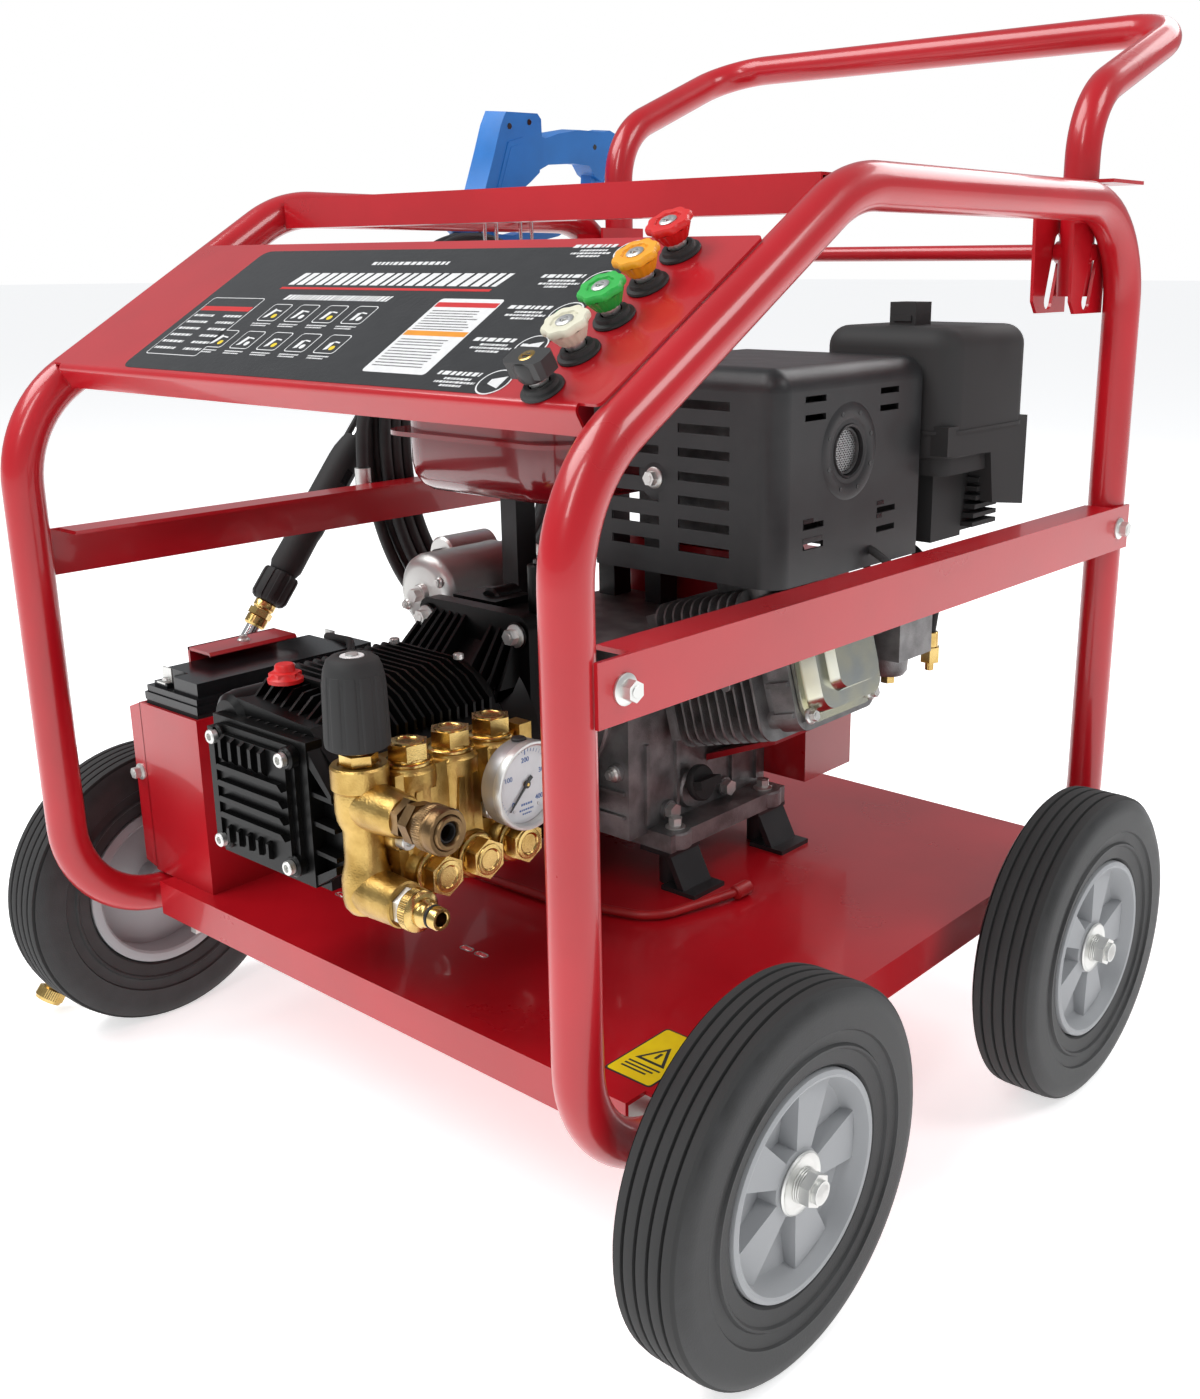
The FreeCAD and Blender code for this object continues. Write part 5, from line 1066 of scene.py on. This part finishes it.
def pillow(piece, box, corner, z0, z1, edge, material, lower=0.0):
    """A block with round corners whose top edge, and lower edge if asked, roll over."""
    x0, x1, y0, y1 = box
    levels = [(lower * (1 - math.sin(a)), z0 + lower * (1 - math.cos(a)))
              for a in (math.pi / 2 * k / 4 for k in range(5))] if lower else [(0, z0)]
    levels += [(edge * (1 - math.cos(a)), z1 - edge + edge * math.sin(a))
               for a in (math.pi / 2 * k / 7 for k in range(8))]
    rings = [[(x, y, z) for x, y in rounded_box(x0 + inset, x1 - inset, y0 + inset, y1 - inset,
                                                max(corner - inset, 1.0), 6)] for inset, z in levels]
    n = len(rings[0])
    faces = [tuple(range(n))[::-1], tuple(range((len(rings) - 1) * n, len(rings) * n))]
    faces += [(j * n + k, j * n + (k + 1) % n, (j + 1) * n + (k + 1) % n, (j + 1) * n + k)
              for j in range(len(rings) - 1) for k in range(n)]
    piece.add([v for ring in rings for v in ring], faces, material)


def cleaner():
    """Two-part black air cleaner cover with a rounded top, a stepped foot and a square knob."""
    piece = Piece()
    pillow(piece, (94, 228, 213, 361), 24, 560, 648, 18, BLACK_PLASTIC)
    pillow(piece, (95, 227, 214, 360), 23, 538, 568, 2, BLACK_PLASTIC, 3)
    piece.prism(rounded_box(93.2, 228.8, 212.2, 361.8, 24, 6), "z", 559, 562, BLACK_PLASTIC, 0.6)
    piece.prism([(215, 541), (215, 566), (359, 566), (359, 484), (300, 492), (292, 538)], "x", 150, 227.5,
                BLACK_PLASTIC, 5, 4)
    piece.prism(rounded_box(100, 222, 219, 355, 14, 4), "z", 523, 542, BLACK_PLASTIC, 2)
    piece.box((110, 232, 462), (205, 284, 524), BLACK_PLASTIC, 5, 3)
    for k in range(6):
        piece.box((203, 286 + k * 1.5, 470 + k * 8), (216, 330, 474 + k * 8), BLACK_PLASTIC, 0.8)
    piece.box((112, 286, 466), (204, 330, 526), BLACK_PLASTIC, 4)
    piece.box((150, 240, 645), (176, 266, 668), BLACK_PLASTIC, 2.0)
    piece.box((154, 238.6, 652), (172, 240.4, 657), BLACK_PLASTIC, 0.5)
    piece.lathe([(0, 0), (20, 0), (20, 2.4), (17, 3.4), (0, 3.4)], (163, 253, 645.4), "z", BLACK_PLASTIC, 40)
    piece.done("cleaner_cover", "frame", "black_plastic", "air_cleaner")


def fuel_system():
    """Carburettor with its bowl, levers, springs, hoses, and the brass tap below."""
    piece = Piece()
    piece.box((158, 172, 366), (214, 226, 436), ALLOY, 4, 3)
    piece.disc(18, (186, 160, 405), "y", 0, 80, ALLOY, 2, 36)
    piece.lathe([(0, 0), (14, 0), (17, 4), (18, 22), (0, 24)], (186, 200, 346), "z", ALLOY, 36)
    piece.hexagon(12, (186, 200, 338), "z", 0, 9, BRIGHT_BRASS, 0.5)
    piece.hexagon(16, (205, 240, 352), "z", 0, 14, BRIGHT_BRASS, 0.8)
    piece.disc(7, (205, 240, 366), "z", 0, 14, BRIGHT_BRASS, 0.6, 28)
    piece.disc(4, (205, 240, 344), "z", 0, 9, BRIGHT_BRASS, 0.5, 20)
    piece.box((214, 180, 420), (217, 222, 446), ZINC, 0.5)
    piece.screw((217, 200, 433), "x", 4, 5, socket=False)
    for k in range(9):
        piece.pipe(5.2, 4.2, (220, 186 + k * 3, 446), "y", 0, 1.4, ZINC, 0.3, 20)
    piece.tube([(205, 240, 380), (205, 250, 420), (170, 262, 452), (120, 200, 470)], [20, 25, 20], 4.5,
               RUBBER, 14)
    piece.tube([(200, 175, 425), (228, 160, 440), (215, 130, 470), (150, 150, 480)], [16, 20, 20], 3.5,
               RUBBER, 14)
    piece.tube([(160, 215, 430), (120, 225, 450), (60, 215, 470)], [25], 3.0, RUBBER, 14)
    piece.done("carburettor_body", "frame", "aluminium", "carburettor")


def fan_side():
    """Red fan housing, pull-start dome with louvres, and its sheet under the barrel."""
    piece = Piece()
    at = (-30, 0, 336)
    piece.lathe([(0, 300), (60, 299.5), (78, 297), (84, 292), (96, 274), (102, 269.4), (118, 268.6),
                 (129, 266), (132, 260), (132, 187), (124, 185.4), (122, 187), (122, 258)], at, "y", RED, 96)
    piece.prism([(-154, 228), (108, 228), (108, 400), (92, 438), (-138, 438), (-154, 420)], "y", 185.4, 262,
                RED, 8, 4)
    # black strips on the dome stand for its louvre slots; their black is painted shade of the openings,
    # partly the dark parts behind
    for k in range(20):
        piece.at = Matrix.Translation((-30, 0, 336)) @ Matrix.Rotation(2 * math.pi * k / 20, 4, "Y")
        piece.prism([(-3.2, 36), (3.2, 36), (4.6, 70), (-4.6, 70)], "y", 298.2, 300.6, GLOSS_BLACK, 0.4)
    piece.at = Matrix.Identity(4)
    piece.lathe([(0, 299), (22, 299), (24, 300.6), (22, 302), (0, 302)], at, "y", RED, 40)
    for k in range(3):
        a = math.radians(30 + 120 * k)
        piece.screw((-30 + 112 * math.cos(a), 268.6, 336 + 112 * math.sin(a)), "y", 5, 7, socket=False)
    piece.prism([(62, 264), (140, 296), (138, 300), (62, 270)], "y", 94, 184, RED, 0.6)
    for x in (-140, 92):
        piece.screw((x, 262, 244), "y", 4.5, 6, socket=False)
    piece.done("fan_case", "frame", "shroud_red", "fan_shrouds")


FILLER = (-101.5, 150, 0)


def tank():
    """Pressed tank in dark red with a seam, filler ring, four stays and a blank label; its cap."""
    piece = Piece()
    pillow(piece, (-206, 3, -32, 237), 44, 502, 556, 1, TANK_RED, 26)
    pillow(piece, (-206, 3, -32, 237), 44, 555, 641, 26, TANK_RED)
    piece.prism(rounded_box(-216, 13, -42, 247, 34, 6), "z", 553.4, 557.4, TANK_RED, 1.2)
    piece.lathe([(22, 638), (26, 638), (27, 640), (27, 645.6), (25.6, 646.4), (22, 646.4)], FILLER, "z",
                ZINC, 48, closed=True)
    for x in (-120, -60):
        for y in (20, 150):
            piece.box((x, y, 385.5), (x + 20, y + 24, 505), BLACK_COAT, 1.5)
    piece.prism(rounded_box(-52, -8, 572, 606, 4), "y", -35.6, -35.2, INK_YELLOW, 0.1)
    piece.done("tank", "frame", "tank_red", "fuel_tank")
    cap = Piece()
    wave = lambda a: 1 + 0.02 * math.cos(18 * a)
    cap.lathe([(0, 646.6), (27, 646.6), (31, 648.5), (31.6, 652)], FILLER, "z", BLACK_PLASTIC, 120)
    cap.lathe([(31, 651), (31, 660)], FILLER, "z", BLACK_PLASTIC, 180, lobes=wave)
    cap.lathe([(31.6, 659), (30, 662.4), (26, 664.6), (14, 665), (12, 663.6), (0, 663.6)], FILLER, "z",
              BLACK_PLASTIC, 120)
    cap.done("fuel_cap", "tank_cap", "black_plastic", "tank_cap")


def starter():
    piece = Piece()
    at = (-172, 0, 409)
    piece.lathe([(0, -33), (24, -33), (30, -31.5), (35, -27), (36.6, -22), (36.6, 52), (37, 53), (37, 60),
                 (34, 62), (34, 96), (26, 112), (0, 113)], at, "y", ZINC, 72)
    piece.lathe([(0, -38), (8.5, -38), (9, -37.4), (10, -33.4), (14, -33), (0, -33)], at, "y", ZINC, 40)
    piece.hexagon(11, (-172, -46, 409), "y", 0, 9, ZINC, 0.6)
    for a in (30, 210):
        r = math.radians(a)
        piece.screw((-172 + 27 * math.cos(r), -32, 409 + 27 * math.sin(r)), "-y", 3.6, 4.5, socket=False)
    piece.disc(17, (-196, 12, 436), "y", 0, 60, ZINC, 2, 36)
    piece.disc(6, (-196, 4, 436), "y", 0, 10, RUBBER, 1, 20)
    piece.box((-160, 60, 380), (-130, 104, 430), ALLOY, 5, 3)
    piece.done("starter", "frame", "zinc", "starter_motor")


battery()
leads()
engine_block()
barrel()
exhaust()
cleaner()
fuel_system()
fan_side()
tank()
starter()


# ---------------------------------------------------------------- gun and lance

def gun_frame():
    """Matrix that lays the gun's drawing (along, across, side) on its resting line."""
    start, tip = Vector((-375, 264, 778)), Vector((-440, -305, 13))
    along = (tip - start).normalized()
    side = along.cross(Vector((0, 1, 0))).normalized()
    across = side.cross(along).normalized()
    turn = Matrix((along, across, side)).transposed().to_4x4()
    return Matrix.Translation(start) @ turn, (tip - start).length


def gun():
    lie, length = gun_frame()
    piece = Piece()
    piece.at = lie
    body = [(66, -20), (16, -21.5), (-22, -34), (-50, -44), (-66, -47), (-95, -10), (-94, -2), (-79, 12),
            (-50, 31), (-34, 26.5), (-20, 21.5), (20, 20.5), (66, 19)]
    piece.prism(body, "z", -16, 16, BLUE, 4.0, 4)
    for side in (-1, 1):
        lo, hi = (15, 16.8) if side > 0 else (-16.8, -15)
        piece.prism([(-62, -12), (-44, -26), (-10, -14), (34, 2), (44, 14), (26, 15), (-20, 14), (-50, 8)],
                    "z", lo, hi, BLUE, 1.0)
        lo, hi = (16.2, 17.2) if side > 0 else (-17.2, -16.2)
        piece.prism([(-54, -11), (-42, -20), (-10, -9), (30, 5), (36, 11), (24, 11.5), (-18, 10), (-46, 5)],
                    "z", lo, hi, BLUE, 0.6)
        for x, y in ((-80, -14), (-58, -34), (56, 0), (-128, 84)):
            piece.disc(3.2, (x, y, 0), "z" if side > 0 else "-z", 12, 14.2 if x == -128 else 16.6,
                       GLOSS_BLACK, 0.4, 20)
    grip = [(-79, 2), (-84, 17), (-102, 30), (-126, 53), (-150, 85), (-158, 92), (-161, 101), (-151, 110),
            (-120, 124), (-106, 116), (-104, 104), (-107, 90), (-92, 68), (-66, 38), (-50, 29)]
    piece.prism(grip, "z", -14, 14, BLUE, 5.0, 4)
    guard = [(-122, 123), (-108, 128), (-70, 130), (-20, 104), (32, 56), (54, 20), (42, 17), (23, 46),
             (-25, 90), (-66, 114), (-88, 116), (-104, 104)]
    piece.prism(guard, "z", -8, 8, BLUE, 3.0, 3)
    piece.lathe([(0, 0), (10, 0), (10, 12), (8, 14), (8, 20), (0, 20)], (-146, 116, 0), "y", BRIGHT_BRASS, 36)
    piece.hexagon(19, (-146, 116, 0), "y", 2, 10, BRIGHT_BRASS, 0.8)
    piece.done("gun_shell", "gun", "gun_blue", "gun_body")
    lever = Piece()
    lever.at = lie
    lever.prism([(-21, 31), (-7, 29), (-12, 44), (-22, 59), (-47, 88), (-55, 84), (-42, 66), (-32, 50)], "z",
                -7, 7, BLUE, 2.4, 3)
    lever.disc(5, (-12, 28, 0), "z", -7, 7, BLUE, 0.8, 28)
    lever.done("gun_lever", "gun_trigger", "gun_blue", "gun_trigger")

    pole = Piece()
    pole.at = lie
    pole.lathe([(0, 66), (15, 66), (18, 70), (19, 76), (19, 178), (17.5, 186), (12, 190), (12, 216),
                (11.4, 222)], ORIGIN, "x", BLACK_PLASTIC, 48)
    for k in range(12):
        pole.pipe(19.5, 17, ORIGIN, "x", 84 + k * 8, 87 + k * 8, BLACK_PLASTIC, 0.8, 36)
    pole.tube([(200, 0, 0), (330, 0, 0)], [], 8, CHROME, 24)
    for k in range(4):
        a = math.pi / 2 * (k + 0.5)
        c, d = math.cos(a), math.sin(a)
        pole.tube([(216, 9 * c, 9 * d), (320, 10 * c, 10 * d)], [], 3.2, BLACK_PLASTIC, 12)
    pole.lathe([(0, 316), (12, 316), (14, 322), (16.4, 334), (17, 344), (17, 424), (16, 432), (16.6, 470),
                (14, 477), (0, 477)], ORIGIN, "x", BLACK_PLASTIC, 48)
    for side in (-1, 1):
        for k in range(3):
            pole.box((352 + k * 26, -4, side * 15.4 - 2), (368 + k * 26, 4, side * 15.4 + 2), GLOSS_BLACK,
                     1.4)
    rib = lambda a: 1 + 0.07 * (1 if math.cos(10 * a) > 0.1 else 0)
    pole.lathe([(0, 478), (16, 478), (17.4, 480), (17.8, 483), (17.8, 506), (16, 510), (13, 512), (0, 512)],
               ORIGIN, "x", BLACK_PLASTIC, 160, lobes=rib)
    pole.lathe([(0, 511), (10, 511), (11, 513), (11, 519), (9.6, 521), (9.6, 529), (11, 530), (11, 538),
                (9, 540), (0, 540)], ORIGIN, "x", BRIGHT_BRASS, 40)
    pole.hexagon(21, ORIGIN, "x", 522, 529, BRIGHT_BRASS, 0.7)
    pole.lathe([(7, 538), (7, length - 33)], ORIGIN, "x", CHROME, 36)
    end = length - 33.8
    pole.lathe([(0, end - 4), (9, end - 4), (12, end), (12, end + 8), (10, end + 10), (10, end + 20)],
               ORIGIN, "x", BRIGHT_BRASS, 48)
    pole.lathe([(10.4, end + 20), (13, end + 21), (13.2, end + 30)], ORIGIN, "x", BRIGHT_BRASS, 160,
               lobes=knurl(40, 0.025))
    pole.lathe([(13, end + 30), (12, end + 33), (9, end + 33.8), (6.1, end + 33.4), (6.1, end + 18),
                (0, end + 18)], ORIGIN, "x", BRIGHT_BRASS, 48)
    pole.done("lance_parts", "gun", "black_plastic", "lance")


gun()


# ---------------------------------------------------------------- frame fittings and deck print

def fittings():
    """Rail, bell and foot bolts."""
    piece = Piece()
    for side, axis in ((1, "x"), (-1, "-x")):
        for y in (-303, 360):
            piece.screw((side * 323.1, y, 470.5), axis, 6.6, 9, socket=False)
    for x in (-139, 76):
        for y in (33, 162):
            piece.screw((x, y, 221.3), "z", 6.2, 9, socket=False)
    piece.done("bolts", "frame", "zinc", "fasteners")


def deck_marks():
    """Yellow label with a generic triangle and bars, and zinc rings round the deck's slots, a painted
    highlight on their edges.
    """
    piece = Piece()
    piece.prism(rounded_box(239, 281, -238, -170, 3), "z", DECK_TOP + 0.05, DECK_TOP + 0.3, BLACK_PLASTIC)
    piece.prism(rounded_box(240.4, 279.6, -236.6, -171.4, 2.4), "z", 169.1, 169.42, INK_YELLOW)
    piece.prism([(247, -214), (273, -214), (260, -190)], "z", 169.3, 169.5, BLACK_PLASTIC, 0.05)
    piece.prism([(251, -211.6), (269, -211.6), (260, -195)], "z", 169.35, 169.6, INK_YELLOW, 0.05)
    piece.prism([(258.8, -208), (261.2, -208), (261.2, -200), (258.8, -200)], "z", 169.4, 169.7,
                BLACK_PLASTIC)
    for k in range(3):
        piece.box((246, -220 - k * 4, 169.3), (274 - k * 3, -218.4 - k * 4, 169.6), BLACK_PLASTIC)
    # zinc rings round the deck's slots: painted highlight where light catches the slot edges
    for side in (-1, 1):
        for step in (0, 17):
            x = side * 81.5 - 50 + step
            outline = rounded_box(x - 7, x + 7, -179.5, -172.5, 3.4, 5)
            inside = rounded_box(x - 6, x + 6, -178.5, -173.5, 2.4, 5)
            verts = [(a, b, z) for z in (169.0, 169.35) for ring in (outline, inside) for a, b in ring]
            n = len(outline)
            faces = [(k, (k + 1) % n, 2 * n + (k + 1) % n, 2 * n + k) for k in range(n)]
            faces += [(2 * n + k, 2 * n + (k + 1) % n, 3 * n + (k + 1) % n, 3 * n + k) for k in range(n)]
            faces += [(3 * n + k, 3 * n + (k + 1) % n, n + (k + 1) % n, n + k) for k in range(n)]
            piece.add(verts, faces, ZINC)
    piece.done("deck_print", "frame", "cap_amber")


fittings()
deck_marks()


# ---------------------------------------------------------------- hose


def hose():
    """Eight turns hung on the hooks in two layers of four; the rise between turns is at the lower rear."""
    places = [(-350, row) for row in range(4)] + [(-336, row) for row in (3, 2, 1, 0)]
    rnd = random.Random(7)
    loose = [rnd.uniform(-0.8, 0.8) for _ in range(8)]
    points = [(-350, 365, 523), (-350, 365, 535), (-350, 364, 548)]
    steps = 24
    for turn in range(8):
        x0, row0 = places[turn]
        x1, row1 = places[min(turn + 1, 7)]
        for k in range(steps):
            part = k / steps
            if turn == 0 and part < 0.085:
                continue
            if turn == 7 and part > 0.44:
                break
            blend = min(1.0, max(0.0, (part - 0.80) / 0.19))
            blend = blend * blend * (3 - 2 * blend)
            inward = 13.0 * (row0 + (row1 - row0) * blend)
            x = x0 + (x1 - x0) * blend
            a = 2 * math.pi * part
            sag = 1.0 + (0.02 * max(0.0, -math.sin(a)) if row0 == 0 else 0.0)
            points.append((x, 200 + (149 - inward + loose[turn] * math.sin(a * 2)) * math.cos(a),
                           520 + (209 - inward) * sag * math.sin(a)))
    points += [(-336, 40, 560), (-336, 35.2, 532), (-336, 34.6, 505)]
    curve = bpy.data.curves.new("hose", "CURVE")
    curve.dimensions = "3D"
    curve.bevel_depth = 0.006
    curve.bevel_resolution = 6
    curve.resolution_u = 6
    spline = curve.splines.new("NURBS")
    spline.points.add(len(points) - 1)
    for spot, point in zip(spline.points, points):
        spot.co = (*(ROW @ Vector(point)), 1)
    spline.order_u = 3
    spline.use_endpoint_u = True
    curve.materials.append(RUBBER)
    hung = bpy.data.objects.new("hose", curve)
    bpy.context.collection.objects.link(hung)
    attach(hung, "frame")
    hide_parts("hose_coil")


hose()
